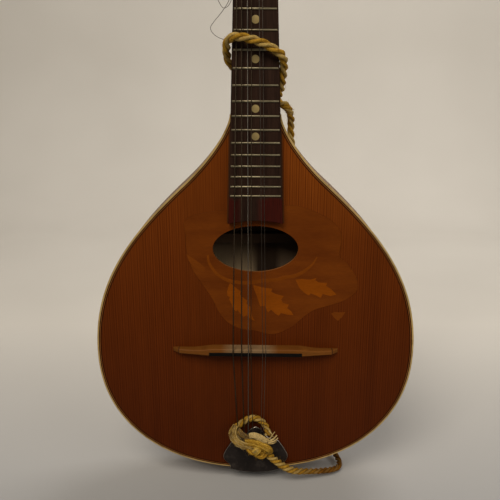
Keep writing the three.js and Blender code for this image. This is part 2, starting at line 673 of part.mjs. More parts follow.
const TAIL_LOOP_ROUTE = [
  [-1.4, -31.9, 27.2], [-7.5, -32.4, 29], [-13, -32.4, 31], [-18, -30.6, 34], [-20, -28.2, 38],
  [-17.8, -25.8, 42.4], [-13.6, -25.3, 46], [-9.6, -25.3, 49.2], [-5.2, -25.3, 51.6],
  [-0.2, -25.3, 52], [4.8, -25.4, 49.6], [8.8, -25.8, 44.7], [10.6, -27.2, 40.4],
  [10.9, -29.2, 37.2],
];
const FRAYED_ROUTE = [
  [-2, -34.2, 40], [3, -34.8, 39.4], [8, -35.4, 37.8], [13, -35.2, 37], [17, -34.6, 40],
];
const WIRE_ROUTE = [
  [-18, -28.3, 486.5], [-20.6, -28.8, 478], [-26.5, -29.4, 460], [-31.4, -29.4, 438],
  [-33, -29.4, 418], [-30.8, -29.6, 402], [-27.1, -30, 393.4], [-23.2, -30.4, 388],
  [-19.6, -31, 389.6], [-17, -32, 394.6], [-16.6, -33, 398.4], [-18.4, -33.2, 398.6],
  [-18.6, -33, 394], [-24.3, -32.6, 385.2], [-30.6, -32, 378], [-32.8, -32, 374.6],
  [-31.6, -31.8, 371.2], [-27.6, -31.2, 368], [-23.4, -31.4, 366.4],
];

// A lumpy knot: a squashed ball with three soft lobes.
function knot(centre, radius, squash) {
  const ball = new THREE.SphereGeometry(1, 12, 8);
  const position = ball.attributes.position;
  for (let i = 0; i < position.count; i++) {
    const p = new THREE.Vector3().fromBufferAttribute(position, i);
    const girth = p.x * p.x + p.z * p.z;
    const lobes = 1 - 0.1 * girth * Math.sin(1.5 * Math.atan2(p.z, p.x)) ** 2;
    p.multiplyScalar(radius * lobes);
    position.setXYZ(i, p.x + centre[0], p.y * squash + centre[1], p.z + centre[2]);
  }
  return ball;
}

function buildRope() {
  add("strap_rope", tube(ROPE_ROUTE, ROPE_RADIUS, 8, 60), ROPE);
  add("strap_neck_loop", tube(NECK_LOOP_ROUTE, ROPE_RADIUS, 8, 32), ROPE);
  add("strap_tail_loop", tube(TAIL_LOOP_ROUTE, ROPE_RADIUS, 8, 30), ROPE);
  add("strap_frayed_end", tube(FRAYED_ROUTE, 2.2, 8, 6), ROPE);
  add("strap_tail_knot", knot([6, -31.2, 25], 6.6, 0.98), ROPE);
  add("strap_neck_knot", knot([15.5, 8.2, 321], 6.4, 1), ROPE);
  add("broken_string", tube(WIRE_ROUTE, WIRE_RADIUS, 8, 54), STEEL);
}

buildSoundboard();
buildBack();
buildBindings();
buildSides();
buildInside();
buildNeck();
buildFingerboard();
buildVeneer();
buildTuners();
buildBridge();
buildTailpiece();
buildStrings();
buildRope();

export default mandolin;
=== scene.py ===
"""Looks of the flat-backed mandolin, worked out in millimetres and built in metres in the CAD frame:
+Z runs up the neck, the soundboard faces -Y, +X is the treble side and the tail end is at the origin."""

import math
import random

import bmesh
import bpy
from mathutils import Matrix, Vector, geometry


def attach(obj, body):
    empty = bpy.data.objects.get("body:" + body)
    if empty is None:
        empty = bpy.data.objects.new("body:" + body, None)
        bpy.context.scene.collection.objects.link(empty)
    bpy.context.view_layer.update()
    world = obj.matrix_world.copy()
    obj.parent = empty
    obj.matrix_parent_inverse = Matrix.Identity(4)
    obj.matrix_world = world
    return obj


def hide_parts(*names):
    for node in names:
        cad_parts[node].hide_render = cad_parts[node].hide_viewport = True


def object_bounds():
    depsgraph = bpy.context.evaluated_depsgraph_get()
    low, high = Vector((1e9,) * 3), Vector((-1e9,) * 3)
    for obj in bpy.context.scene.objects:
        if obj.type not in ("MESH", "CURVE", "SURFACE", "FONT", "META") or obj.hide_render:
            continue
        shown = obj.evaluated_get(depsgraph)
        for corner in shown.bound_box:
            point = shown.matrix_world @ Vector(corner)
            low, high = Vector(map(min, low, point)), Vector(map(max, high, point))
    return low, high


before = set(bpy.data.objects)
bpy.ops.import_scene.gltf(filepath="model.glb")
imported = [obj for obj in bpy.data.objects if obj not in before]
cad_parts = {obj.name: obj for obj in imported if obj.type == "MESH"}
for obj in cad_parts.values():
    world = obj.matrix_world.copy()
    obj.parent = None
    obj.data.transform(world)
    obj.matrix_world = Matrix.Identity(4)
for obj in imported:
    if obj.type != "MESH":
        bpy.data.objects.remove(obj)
cad_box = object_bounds()

# ---- Driving dimensions, millimetres ----
MM = 0.001
SCALE_LENGTH = 330
NUT_Z = 456
WIDEST_X, WIDEST_Z = 135, 115
BOUT_POWER = 2.2  # of the superellipse below the widest place
SHOULDER = (57.8, 257.4)
SHOULDER_SLOPE = 1.08
SHOULDER_HANDLES = (64.5, 55.9, 34.7, 8)
NECK_JOIN_X = 20
FRONT_Y, BACK_Y = -22, 22
TOP_THICK, BACK_THICK, RIM_THICK = 2.8, 3, 2.2
BINDING_WIDTH = 1.5
PURFLING = (0.8, 0.5, 0.8)  # dark, light and dark line inside the binding
PURFLING_DEPTH = 0.8
INLAY_THICK = 0.7
HOLE_Z, HOLE_ACROSS, HOLE_ALONG = 204.5, 35, 19.5
RISER, RISER_LIP, RISER_LIP_END_Z, RISER_LIP_FADE = 1, 1.3, 298, 8
BOARD_THICK = 5
BOARD_WIDTH_NUT, BOARD_TAPER = 29.3, 0.0617
BOARD_END_Z = 227
FRET_COUNT = 17
DOT_FRETS = (5, 7, 10, 12)
DOT_RADIUS = 3
NECK_DEPTH, HEEL_DEPTH, HEEL_TOP_Z = 15, 43, 335
NUT_LENGTH = 5
HEADSTOCK_TILT = 12
HEADSTOCK_LENGTH, HEADSTOCK_THICK, VENEER = 118, 12, 1.5
POST_X, POST_FIRST_Z, POST_PITCH, POST_PROUD = 14.5, 24, 23, 14
GEAR_TEETH, GEAR_RADIUS, GEAR_ROOT = 14, 5.2, 4.3
WORM_OFFSET, WORM_BACK = 7.6, 3.5
BRIDGE_Z, BRIDGE_HEIGHT = 114.4, 10
BRIDGE_HALF, BRIDGE_ARM_END, BRIDGE_SKEW = 68, 64.5, 0.011
SADDLE_HALF, SADDLE_DEPTH, SADDLE_RISE = 39, 3.2, 0.7
STRING_AT_SADDLE = (-18.8, -11.6, -6, -3.9, 6, 8.5)
STRING_AT_NUT = (-12.3, -9.6, -5.8, -2.6, 1.8, 4.2)
STRING_AT_TAIL = (-14.9, -9.8, -6.4, -2.3, 4.7, 6.8)
STRING_RADIUS = (0.5, 0.5, 0.36, 0.36, 0.22, 0.22)
STRING_POST = (0, 1, 2, 3, 7, 6)
POST_WRAP = (7.8, 4.5, 5, 4)
POST_REACH = 2.45  # from a post's axis to the near side of its string
HOOK_Y = -28
HOOK_Z = (31, 31, 36, 36, 36, 36)  # the two bass strings hang lower
# For the two strings that are gone
EMPTY_GROOVES = ((8.9, 0.22), (11.3, 0.22))
SPARE_HOOKS = ((9.6, 32), (12.2, 31))
ROPE_RADIUS = 3.25
ROPE_PITCH = 23
FIT, GAP = 0.05, 0.02  # clearances between fitted pieces
AXIS = 0.01  # the radius that ends a turned profile on its axis
SIDES = ((-1, "left"), (1, "right"))

NECK_Y = FRONT_Y - RISER
BOARD_Y = NECK_Y - BOARD_THICK
NUT_TOP_Y = BOARD_Y - 1.3
BRIDGE_FOOT_Y = FRONT_Y - 0.1
BRIDGE_TOP_Y = BRIDGE_FOOT_Y - BRIDGE_HEIGHT
SADDLE_TOP_Y = BRIDGE_TOP_Y - SADDLE_RISE
WORM_Y = HEADSTOCK_THICK + WORM_BACK


def fret_z(fret):
    return NUT_Z - SCALE_LENGTH * (1 - 2 ** (-fret / 12))


def board_half(z):
    return (BOARD_WIDTH_NUT + BOARD_TAPER * (NUT_Z - z)) / 2


BODY_TOP_Z = fret_z(10) + 0.8
HEADSTOCK = Matrix.Translation((0, NECK_Y, NUT_Z + NUT_LENGTH + 0.3))
HEADSTOCK @= Matrix.Rotation(math.radians(-HEADSTOCK_TILT), 4, "X")

# ---- Routes of the rope strap and the loose wire, millimetres ----
ROPE_ROUTE = [
    (11.2, -31, 19.4), (16, -30.2, 14.2), (21, -29.2, 9.4), (27, -28.2, 4.4), (34.5, -26.8, 0.2),
    (45, -24, -2.4), (59.6, -19, -5.4), (71, -14, -7.2), (77, -8, -8.4), (78.5, 0, -8.2),
    (76.5, 9, -7.4), (73.5, 19, -4.6), (72, 26.6, 4), (70.5, 28.6, 18), (67, 28.6, 45),
    (61, 28, 95), (54.5, 28, 135), (48, 28, 175), (42, 28, 215), (36.5, 28, 250),
    (32.5, 27.5, 275), (30.3, 26, 291), (29.9, 22.5, 300), (29.6, 17.5, 307.5),
    (27.8, 12.4, 313.2), (25, 9.6, 316.6), (22.6, 9, 318.2),
]
NECK_LOOP_ROUTE = [
    (10.2, 5.3, 326.2), (4.5, 2.2, 331.8), (-2, -1.2, 338.4), (-9.5, -3.5, 343.8),
    (-16, -7, 346.8), (-20.4, -13, 351.5), (-21.8, -20, 358.5), (-21, -27.5, 364.4),
    (-17.8, -33.2, 367.5), (-12.4, -35.6, 368.1), (-1.8, -35.6, 366), (6.9, -35.4, 363),
    (14, -35, 359.2), (19.2, -32.2, 355.6), (21.2, -27, 350.8), (21.2, -21, 344.4),
    (20.6, -15.5, 338), (20, -8.8, 332), (18.8, -3, 327.6), (17.6, 1.2, 324.2),
]
TAIL_LOOP_ROUTE = [
    (-1.4, -31.9, 27.2), (-7.5, -32.4, 29), (-13, -32.4, 31), (-18, -30.6, 34), (-20, -28.2, 38),
    (-17.8, -25.8, 42.4), (-13.6, -25.3, 46), (-9.6, -25.3, 49.2), (-5.2, -25.3, 51.6),
    (-0.2, -25.3, 52), (4.8, -25.4, 49.6), (8.8, -25.8, 44.7), (10.6, -27.2, 40.4),
    (10.9, -29.2, 37.2),
]
WIRE_ROUTE = [
    (-18, -28.3, 486.5), (-20.6, -28.8, 478), (-26.5, -29.4, 460), (-31.4, -29.4, 438),
    (-33, -29.4, 418), (-30.8, -29.6, 402), (-27.1, -30, 393.4), (-23.2, -30.4, 388),
    (-19.6, -31, 389.6), (-17, -32, 394.6), (-16.6, -33, 398.4), (-18.4, -33.2, 398.6),
    (-18.6, -33, 394), (-24.3, -32.6, 385.2), (-30.6, -32, 378), (-32.8, -32, 374.6),
    (-31.6, -31.8, 371.2), (-27.6, -31.2, 368), (-23.4, -31.4, 366.4),
]
TAIL_KNOT = Vector((6, -31.2, 25))
NECK_KNOT = Vector((15.5, 8.2, 321))

# ---- Camera ----
camera = bpy.data.objects.new("camera", bpy.data.cameras.new("camera"))
bpy.context.scene.collection.objects.link(camera)
camera.location = (0, -0.5078, 0.3368)
camera.rotation_euler = (math.radians(90 - 15.3), 0, 0)
camera.data.lens = 44.4
camera.data.sensor_width = 36
camera.data.shift_x = -0.011
camera.data.clip_start = 0.01
bpy.context.scene.camera = camera


# ---- Material building ----
def new_material(name, roughness, specular=0.5, metallic=0.0, coat=0.0):
    material = bpy.data.materials.new(name)
    material.use_nodes = True
    shader = material.node_tree.nodes["Principled BSDF"].inputs
    values = {"Roughness": roughness, "Specular IOR Level": specular, "Metallic": metallic,
              "Coat Weight": coat, "Coat Roughness": 0.1}
    for socket, value in values.items():
        shader[socket].default_value = value
    return material


def connect(material, value, socket):
    """Sets a socket to another node's socket or to a plain value."""
    if isinstance(value, bpy.types.NodeSocket):
        material.node_tree.links.new(value, socket)
    else:
        socket.default_value = value


def node(material, kind, settings=None, **inputs):
    made = material.node_tree.nodes.new(kind)
    for key, value in (settings or {}).items():
        setattr(made, key, value)
    for key, value in inputs.items():
        connect(material, value, made.inputs[key.replace("_", " ")])
    return made


def place(material, scale=(1, 1, 1), turn=(0, 0, 0)):
    """The point on the surface, in metres in the CAD frame, scaled and turned."""
    where = node(material, "ShaderNodeTexCoord").outputs["Object"]
    angles = [math.radians(a) for a in turn]
    return node(material, "ShaderNodeMapping", Vector=where, Scale=scale, Rotation=angles).outputs[0]


def axis(material, name):
    return node(material, "ShaderNodeSeparateXYZ", Vector=place(material)).outputs[name]


def rise(material, value, start, end):
    """0 up to `start`, rising to 1 at `end`."""
    return node(material, "ShaderNodeMapRange", Value=value, From_Min=start, From_Max=end).outputs[0]


def noise(material, where, scale, detail, rough=0.5):
    made = node(material, "ShaderNodeTexNoise", Vector=where, Scale=scale, Detail=detail, Roughness=rough)
    return made.outputs["Fac"]


def ramp(material, factor, *stops):
    """Colours or greys at places from 0 to 1. A stop is (place, value)."""
    made = node(material, "ShaderNodeValToRGB", Fac=factor)
    elements = made.color_ramp.elements
    while len(elements) < len(stops):
        elements.new(0.5)
    for element, (at, value) in zip(elements, stops):
        element.position = at
        element.color = (*value, 1) if isinstance(value, tuple) else (value, value, value, 1)
    return made.outputs["Color"]


def mix(material, factor, a, b, blend="MIX"):
    made = node(material, "ShaderNodeMix", {"data_type": "RGBA", "blend_type": blend})
    connect(material, factor, made.inputs[0])
    for value, socket in ((a, made.inputs[6]), (b, made.inputs[7])):
        connect(material, (*value, 1) if isinstance(value, tuple) else value, socket)
    return made.outputs[2]


def times(material, color, shade, factor=1.0):
    return mix(material, factor, color, shade, "MULTIPLY")


def math_node(material, operation, a, b=0.0, c=0.0):
    made = node(material, "ShaderNodeMath", {"operation": operation})
    for value, socket in zip((a, b, c), made.inputs):
        connect(material, value, socket)
    return made.outputs[0]


def finish_material(material, color, roughness=None, bump=None, strength=0.2, depth=0.0001):
    shader = material.node_tree.nodes["Principled BSDF"].inputs
    connect(material, color, shader["Base Color"])
    if roughness:
        connect(material, roughness, shader["Roughness"])
    if bump:
        made = node(material, "ShaderNodeBump", Height=bump, Strength=strength, Distance=depth)
        connect(material, made.outputs[0], shader["Normal"])
    return material


def grain_lines(material, where, ring, across, wander):
    """Thin dark lines, `ring` mm apart on average, that wander sideways."""
    bands = node(material, "ShaderNodeTexWave", {"bands_direction": across}, Vector=where,
                 Scale=2 * math.pi / (20 * ring * MM), Distortion=wander, Detail=1.0, Detail_Scale=0.13)
    return ramp(material, bands.outputs["Fac"], (0.0, 1.0), (0.4, 0.3), (0.75, 0.0))


def wood(name, early, late, ring, across="X", along=(0, 0, 1), roughness=0.4, specular=0.3,
         coat=0.0, streaks=0.35, contrast=0.6, shade=None):
    """Straight-grained wood: growth rings about `ring` mm apart along `across`, drawn out by `along`."""
    material = new_material(name, roughness, specular, coat=coat)
    where = place(material, [0.03 if a else 1 for a in along])
    lines = math_node(material, "MULTIPLY", grain_lines(material, where, ring, across, 7.0), 0.6)
    wide_lines = grain_lines(material, where, ring * 1.43, across, 5.0)
    lines = math_node(material, "MULTIPLY_ADD", wide_lines, 0.4, lines)
    strength = ramp(material, noise(material, where, 28, 2), (0.35, contrast * 0.45), (0.65, contrast))
    fibre = noise(material, where, 1500, 3)
    broad = noise(material, where, 60, 3)
    color = mix(material, math_node(material, "MULTIPLY", lines, strength), early, late)
    color = times(material, color, ramp(material, broad, (0.3, 1 - streaks), (0.7, 1.0)))
    color = times(material, color, ramp(material, fibre, (0.35, 0.55), (0.65, 1.0)), 0.35)
    if shade:
        color = shade(material, color)
    rough = ramp(material, fibre, (0.3, roughness * 0.85), (0.7, min(1, roughness * 1.2)))
    return finish_material(material, color, rough, fibre, 0.15)


def across_centre(material, middle, inner, outer):
    """0 within `inner` mm of x = `middle`, rising to 1 at `outer` mm."""
    away = math_node(material, "SUBTRACT", axis(material, "X"), middle * MM)
    return rise(material, math_node(material, "ABSOLUTE", away), inner * MM, outer * MM)


def worn_middle(material, color):
    """The bridge is rubbed pale and grey under the strings."""
    return mix(material, across_centre(material, -5, 14, 24), (0.235, 0.145, 0.07), color)


def painted_light_top(material, color):
    """Painted light and shade on the top: darker and redder towards the tail, and lightest at the upper
    treble side, where the light from above falls strongest.
    """
    up = axis(material, "Z")
    cloud = noise(material, place(material, (1, 1, 0.6)), 9, 2)
    light = math_node(material, "MULTIPLY_ADD", cloud, 0.3, rise(material, up, 0.02, 0.29))
    treble = rise(material, axis(material, "X"), 0.0, 0.045)
    corner = math_node(material, "MULTIPLY", treble, rise(material, up, 0.21, 0.27))
    light = math_node(material, "MULTIPLY_ADD", corner, 0.4, light)
    light = math_node(material, "MULTIPLY_ADD", light, 0.78, -0.12)
    return times(material, color, ramp(
        material, light, (0.0, (0.50, 0.40, 0.36)), (0.42, (0.83, 0.76, 0.74)),
        (0.78, (1.2, 1.24, 1.1)), (1.0, (1.5, 1.62, 1.3)),
    ))


def lit_below(material, color):
    """The inside, with painted light and shade: painted shade above the soundhole, a painted shadow band
    beside it, and paler, painted light below on the bass side.
    """
    high = rise(material, axis(material, "Z"), 0.172, 0.206)
    right = rise(material, axis(material, "X"), -0.01, 0.02)
    color = mix(material, right, color, (0.20, 0.14, 0.09))
    color = mix(material, across_centre(material, 10, 7.5, 13), (0.04, 0.026, 0.018), color)
    return mix(material, high, color, (0.09, 0.052, 0.03))


def plain(name, color, roughness, specular=0.4, metallic=0.0, vary=0.25, grain=400, coat=0.0,
          bump=0.1, worn=None):
    """An even material with a cloudy change of tone, fine grain and, if worn, rubbed patches."""
    material = new_material(name, roughness, specular, metallic, coat)
    cloud = noise(material, place(material), 40, 4, 0.6)
    fine = noise(material, place(material), grain, 3)
    darker = tuple(c * (1 - vary) for c in color)
    lighter = tuple(min(1, c * (1 + vary)) for c in color)
    tone = mix(material, ramp(material, cloud, (0.3, 0.0), (0.7, 1.0)), darker, lighter)
    if worn:
        patches = ramp(material, noise(material, place(material), 120, 6, 0.7), (0.52, 0.0), (0.7, 1.0))
        tone = mix(material, patches, tone, worn)
    rough = ramp(material, fine, (0.3, roughness * 0.8), (0.7, min(1, roughness * 1.25)))
    return finish_material(material, tone, rough, fine, bump)


def veneer(name, dark, light, turn):
    """Smooth varnished veneer with a low, cloudy figure drawn out along its grain."""
    material = new_material(name, 0.4, 0.07)
    where = place(material, (0.25, 1, 1), (0, turn, 0))
    cloud = noise(material, where, 90, 3, 0.5)
    fibre = noise(material, where, 900, 3)
    color = mix(material, ramp(material, cloud, (0.32, 0.0), (0.68, 1.0)), dark, light)
    color = times(material, color, ramp(material, fibre, (0.35, 0.6), (0.65, 1.0)), 0.25)
    return finish_material(material, color, None, fibre, 0.1)


def rosewood():
    """Dark brown board with open pores, left redder beside the strings at its end."""
    material = new_material("rosewood", 0.55, 0.07)
    where = place(material, (1, 1, 0.04))
    pores = noise(material, where, 1900, 2)
    tone = ramp(
        material, noise(material, where, 260, 4, 0.6), (0.3, (0.021, 0.0098, 0.0062)),
        (0.55, (0.034, 0.0165, 0.0105)), (0.75, (0.044, 0.0225, 0.0142)),
    )
    uneven = noise(material, place(material), 170, 3)
    up = math_node(material, "MULTIPLY_ADD", uneven, 0.01, axis(material, "Z"))
    end = rise(material, up, 0.2545, 0.2505)
    red = math_node(material, "MULTIPLY", end, across_centre(material, -5, 5, 11))
    tone = mix(material, red, tone, (0.050, 0.0072, 0.0043))
    tone = times(material, tone, ramp(material, pores, (0.38, 0.3), (0.5, 1.0)), 0.5)
    return finish_material(material, tone, ramp(material, pores, (0.4, 0.65), (0.6, 0.45)), pores, 0.2)


def wound_string(name, dark, light, pitch):
    """A wrapped string: fine rings along its length."""
    material = new_material(name, 0.4, metallic=1.0)
    rings = node(material, "ShaderNodeTexWave", {"bands_direction": "Z"}, Vector=place(material),
                 Scale=2 * math.pi / (20 * pitch * MM)).outputs["Fac"]
    tone = ramp(material, noise(material, place(material, (1, 1, 0.1)), 300, 3), (0.3, dark), (0.7, light))
    tone = times(material, tone, ramp(material, rings, (0.1, 0.35), (0.6, 1.0)), 0.5)
    return finish_material(material, tone, None, rings, 0.5)


def rope_fibre(name, dark, light):
    """Loose-laid fibre: fine hairs along the strand, with painted shade where the rope runs off low towards
    the treble side.
    """
    material = new_material(name, 0.8, 0.12)
    fine = noise(material, place(material), 1100, 5, 0.7)
    soft = math_node(material, "MULTIPLY", noise(material, place(material), 160, 3), 0.4)
    blend = math_node(material, "MULTIPLY_ADD", fine, 0.6, soft)
    tone = ramp(material, blend, (0.38, dark), (0.6, light))
    # Painted shade: the rope darkens as it runs out to the treble side, low by the tail, where it lies in
    # shadow.
    aside = rise(material, axis(material, "X"), 0.022, 0.06)
    far = math_node(material, "MULTIPLY", aside, rise(material, axis(material, "Z"), 0.04, 0.01))
    tone = mix(material, far, tone, times(material, tone, (0.36, 0.25, 0.15)))
    return finish_material(material, tone, None, fine, 0.5, 0.0003)


UPRIGHT, LENGTHWISE, ALL_ROUND = (0, 0, 1), (1, 0, 0), (1, 0, 1)
M = {
    # The cedar top carries painted light and shade: darker towards the tail, lightest at the upper treble
    # side.
    "top": wood("cedar_top", (0.192, 0.044, 0.005), (0.075, 0.0115, 0.0014), 1.75, specular=0.07,
                streaks=0.2, contrast=0.8, shade=painted_light_top),
    "ground": veneer("marquetry_ground", (0.132, 0.0295, 0.0033), (0.182, 0.0435, 0.0043), 14),
    "leaf": veneer("marquetry_leaf", (0.238, 0.056, 0.0022), (0.285, 0.069, 0.0028), -40),
    "stem": veneer("marquetry_stem", (0.19, 0.046, 0.0032), (0.225, 0.056, 0.004), 10),
    "faint_leaf": veneer("marquetry_faint_leaf", (0.168, 0.040, 0.0037), (0.20, 0.049, 0.0045), 40),
    "side": wood("walnut_side", (0.19, 0.078, 0.022), (0.11, 0.04, 0.011), 2.8, "Y", ALL_ROUND,
                 0.45, 0.2, coat=0.05),
    "back": wood("walnut_back", (0.19, 0.078, 0.023), (0.11, 0.04, 0.011), 3.2, "X", UPRIGHT,
                 0.38, 0.35, coat=0.3),
    # Inside wood and braces carry painted light and shade from the light that comes in through the
    # soundhole.
    "inner": wood("inner_wood", (0.50, 0.37, 0.22), (0.40, 0.29, 0.17), 2.1, "X", UPRIGHT,
                  0.85, 0.1, streaks=0.2, contrast=0.3, shade=lit_below),
    "brace": wood("brace_wood", (0.36, 0.25, 0.15), (0.30, 0.20, 0.11), 1.6, "Z", LENGTHWISE,
                  0.85, 0.1, contrast=0.4, shade=lit_below),
    "hole_edge": wood("hole_edge", (0.33, 0.12, 0.03), (0.22, 0.07, 0.015), 1.8, "X", UPRIGHT,
                      0.6, 0.1, contrast=0.4),
    "neck": wood("neck_wood", (0.125, 0.048, 0.017), (0.075, 0.027, 0.01), 2.4, coat=0.25),
    "riser": wood("riser_wood", (0.105, 0.034, 0.009), (0.07, 0.022, 0.006), 2.0, "X", UPRIGHT, 0.45, 0.1),
    "bridge": wood("bridge_wood", (0.215, 0.075, 0.012), (0.14, 0.043, 0.007), 1.3, "Z", LENGTHWISE,
                   0.5, 0.08, streaks=0.3, shade=worn_middle),
    "bridge_cut": plain("bridge_cut", (0.060, 0.022, 0.007), 0.6, 0.1, vary=0.4),
    "ebony": plain("ebony", (0.007, 0.006, 0.0055), 0.55, 0.05, vary=0.4, grain=900),
    "cream": plain("cream_binding", (0.47, 0.315, 0.115), 0.42, 0.2, vary=0.2, grain=700,
                   worn=(0.32, 0.18, 0.05)),
    "purfling_dark": plain("purfling_dark", (0.017, 0.0045, 0.0015), 0.6, 0.03, vary=0.3),
    "purfling_light": plain("purfling_light", (0.26, 0.092, 0.022), 0.6, 0.03, vary=0.2),
    "bone": plain("bone", (0.62, 0.55, 0.40), 0.38, vary=0.12, coat=0.2),
    "pearl": plain("pearl_dot", (0.34, 0.255, 0.105), 0.3, 0.25, grain=500),
    "fret": plain("fret_wire", (0.30, 0.26, 0.165), 0.42, metallic=1.0, grain=900, bump=0.05,
                  worn=(0.22, 0.17, 0.10)),
    "tailpiece": plain("tarnished_steel", (0.019, 0.0145, 0.013), 0.5, 0.15, 0.2, vary=0.5,
                       grain=700, worn=(0.055, 0.044, 0.038)),
    # Metal worn bare at the tailpiece cover's edge, made brighter as a painted highlight along it.
    "worn_edge_and_highlight": plain("worn_edge_and_highlight", (0.30, 0.26, 0.22), 0.4, metallic=1.0, vary=0.3),
    "steel": plain("string_steel", (0.13, 0.11, 0.09), 0.38, metallic=1.0, vary=0.2),
    "wire": plain("broken_wire", (0.10, 0.085, 0.07), 0.4, metallic=1.0, vary=0.2),
    "nickel": plain("nickel", (0.56, 0.52, 0.44), 0.28, metallic=1.0, vary=0.2, worn=(0.3, 0.25, 0.18)),
    "plate": plain("tuner_plate", (0.36, 0.31, 0.22), 0.36, metallic=1.0, vary=0.3,
                   worn=(0.16, 0.12, 0.07)),
    "button": plain("button_cream", (0.60, 0.50, 0.30), 0.28, vary=0.12, grain=200, coat=0.4, bump=0.03),
    "rosewood": rosewood(),
    "wound_dark": wound_string("wound_dark", (0.045, 0.032, 0.020), (0.095, 0.070, 0.046), 0.35),
    "wound_bright": wound_string("wound_bright", (0.15, 0.135, 0.11), (0.25, 0.225, 0.19), 0.28),
    "rope_gold": rope_fibre("rope_gold", (0.20, 0.095, 0.008), (0.55, 0.31, 0.030)),
    "rope_pale": rope_fibre("rope_pale", (0.27, 0.165, 0.038), (0.58, 0.41, 0.13)),
    "rope_bright": rope_fibre("rope_bright", (0.34, 0.185, 0.015), (0.75, 0.50, 0.085)),
    "band": rope_fibre("loose_band", (0.18, 0.092, 0.014), (0.48, 0.29, 0.060)),
    "fuzz": rope_fibre("grey_fuzz", (0.09, 0.055, 0.026), (0.24, 0.16, 0.085)),
    "fray": rope_fibre("frayed_fibre", (0.38, 0.25, 0.085), (0.78, 0.60, 0.27)),
}
STRING_LOOK = ("wound_dark", "wound_dark", "wound_bright", "wound_dark", "steel", "steel")


# ---- Solids ----
class Solid:
    """Vertices and faces of one piece, gathered in millimetres."""

    def __init__(self):
        self.points = []
        self.faces = []
        self.looks = []

    def loop(self, points):
        start = len(self.points)
        self.points += [tuple(p) for p in points]
        return list(range(start, len(self.points)))

    def face(self, indices, look=0):
        self.faces.append(list(indices))
        self.looks.append(look)

    def band(self, a, b, look=0):
        """A closed strip of quads between two loops of equal length."""
        for i in range(len(a)):
            j = (i + 1) % len(a)
            self.face((a[i], a[j], b[j], b[i]), look)

    def cap(self, *loops, look=0):
        """A flat fill of the first loop, with the others as holes."""
        order = [i for indices in loops for i in indices]
        outlines = [[Vector(self.points[i]) for i in indices] for indices in loops]
        for triangle in geometry.tessellate_polygon(outlines):
            self.face([order[i] for i in triangle], look)

    def skin(self, loops, look=0):
        for a, b in zip(loops, loops[1:]):
            self.band(a, b, look)
        return self

    def rings(self, rings, look=0):
        """A solid through loops of equal length, closed at both ends."""
        loops = [self.loop(ring) for ring in rings]
        self.skin(loops, look)
        self.face(loops[0], look)
        self.face(loops[-1], look)
        return self


def build(name, solid, materials, body="instrument", replaces=None, sharp=32, where=None):
    """Makes the piece, with faces smooth up to `sharp` degrees, and puts it on its CAD body."""
    mesh = bpy.data.meshes.new(name)
    matrix = where or Matrix.Identity(4)
    mesh.from_pydata([(matrix @ Vector(p)) * MM for p in solid.points], [], solid.faces)
    for material in [materials] if isinstance(materials, str) else materials:
        mesh.materials.append(M[material])
    mesh.polygons.foreach_set("material_index", solid.looks)
    work = bmesh.new()
    work.from_mesh(mesh)
    bmesh.ops.remove_doubles(work, verts=work.verts, dist=1e-7)
    bmesh.ops.recalc_face_normals(work, faces=work.faces)
    for face in work.faces:
        face.smooth = True
    for edge in work.edges:
        angle = edge.calc_face_angle(math.pi) if len(edge.link_faces) == 2 else math.pi
        edge.smooth = angle < math.radians(sharp)
    work.to_mesh(mesh)
    work.free()
    piece = bpy.data.objects.new(name, mesh)
    bpy.context.scene.collection.objects.link(piece)
    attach(piece, body)
    if replaces:
        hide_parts(replaces)
    return piece


def dress(node_name, material, bevel):
    """Gives a CAD node that stays its material, and softens its edges by a modifier."""
    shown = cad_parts[node_name]
    shown.data.materials.clear()
    shown.data.materials.append(M[material])
    softened = shown.modifiers.new("soft_edges", "BEVEL")
    softened.width = bevel * MM
    softened.segments = 2
    softened.limit_method = "ANGLE"


# ---- Curves ----
def circle(count):
    turns = (2 * math.pi * k / count for k in range(count))
    return [(math.cos(t), math.sin(t)) for t in turns]


def bezier_path(start, *parts, steps=8):
    """Points from `start` through parts of (end), (control, end) or (control, control, end)."""
    points = [Vector(start)]
    for part in parts:
        controls = [points[-1], *map(Vector, part)]
        count = 1 if len(controls) == 2 else steps
        for s in range(1, count + 1):
            row = controls
            while len(row) > 1:
                row = [a.lerp(b, s / count) for a, b in zip(row, row[1:])]
            points.append(row[0])
    return points


def mirrored(points, side=-1):
    return [Vector((side * p.x, p.y)) for p in points]


def smooth_route(route, step):
    """Centripetal Catmull-Rom curve through the points, resampled every `step` mm."""
    points = [Vector(p) for p in route]
    points = [2 * points[0] - points[1], *points, 2 * points[-1] - points[-2]]
    fine = []
    for p0, p1, p2, p3 in zip(points, points[1:], points[2:], points[3:]):
        t1 = math.sqrt((p1 - p0).length)
        t2 = t1 + math.sqrt((p2 - p1).length)
        t3 = t2 + math.sqrt((p3 - p2).length)
        for k in range(12):
            t = t1 + (t2 - t1) * k / 12
            a1 = p0 + (p1 - p0) * (t / t1)
            a2 = p1 + (p2 - p1) * ((t - t1) / (t2 - t1))
            a3 = p2 + (p3 - p2) * ((t - t2) / (t3 - t2))
            b1 = a1 + (a2 - a1) * (t / t2)
            b2 = a2 + (a3 - a2) * ((t - t1) / (t3 - t1))
            fine.append(b1 + (b2 - b1) * ((t - t1) / (t2 - t1)))
    fine.append(Vector(points[-2]))
    length = sum((b - a).length for a, b in zip(fine, fine[1:]))
    count = max(2, round(length / step))
    even = [fine[0]]
    gone = 0.0
    for a, b in zip(fine, fine[1:]):
        piece = (b - a).length
        while gone + piece >= length / count * len(even) and len(even) < count:
            even.append(a.lerp(b, (length / count * len(even) - gone) / piece))
        gone += piece
    return [*even, fine[-1]]


def heading(path, i):
    return (path[min(len(path) - 1, i + 1)] - path[max(0, i - 1)]).normalized()


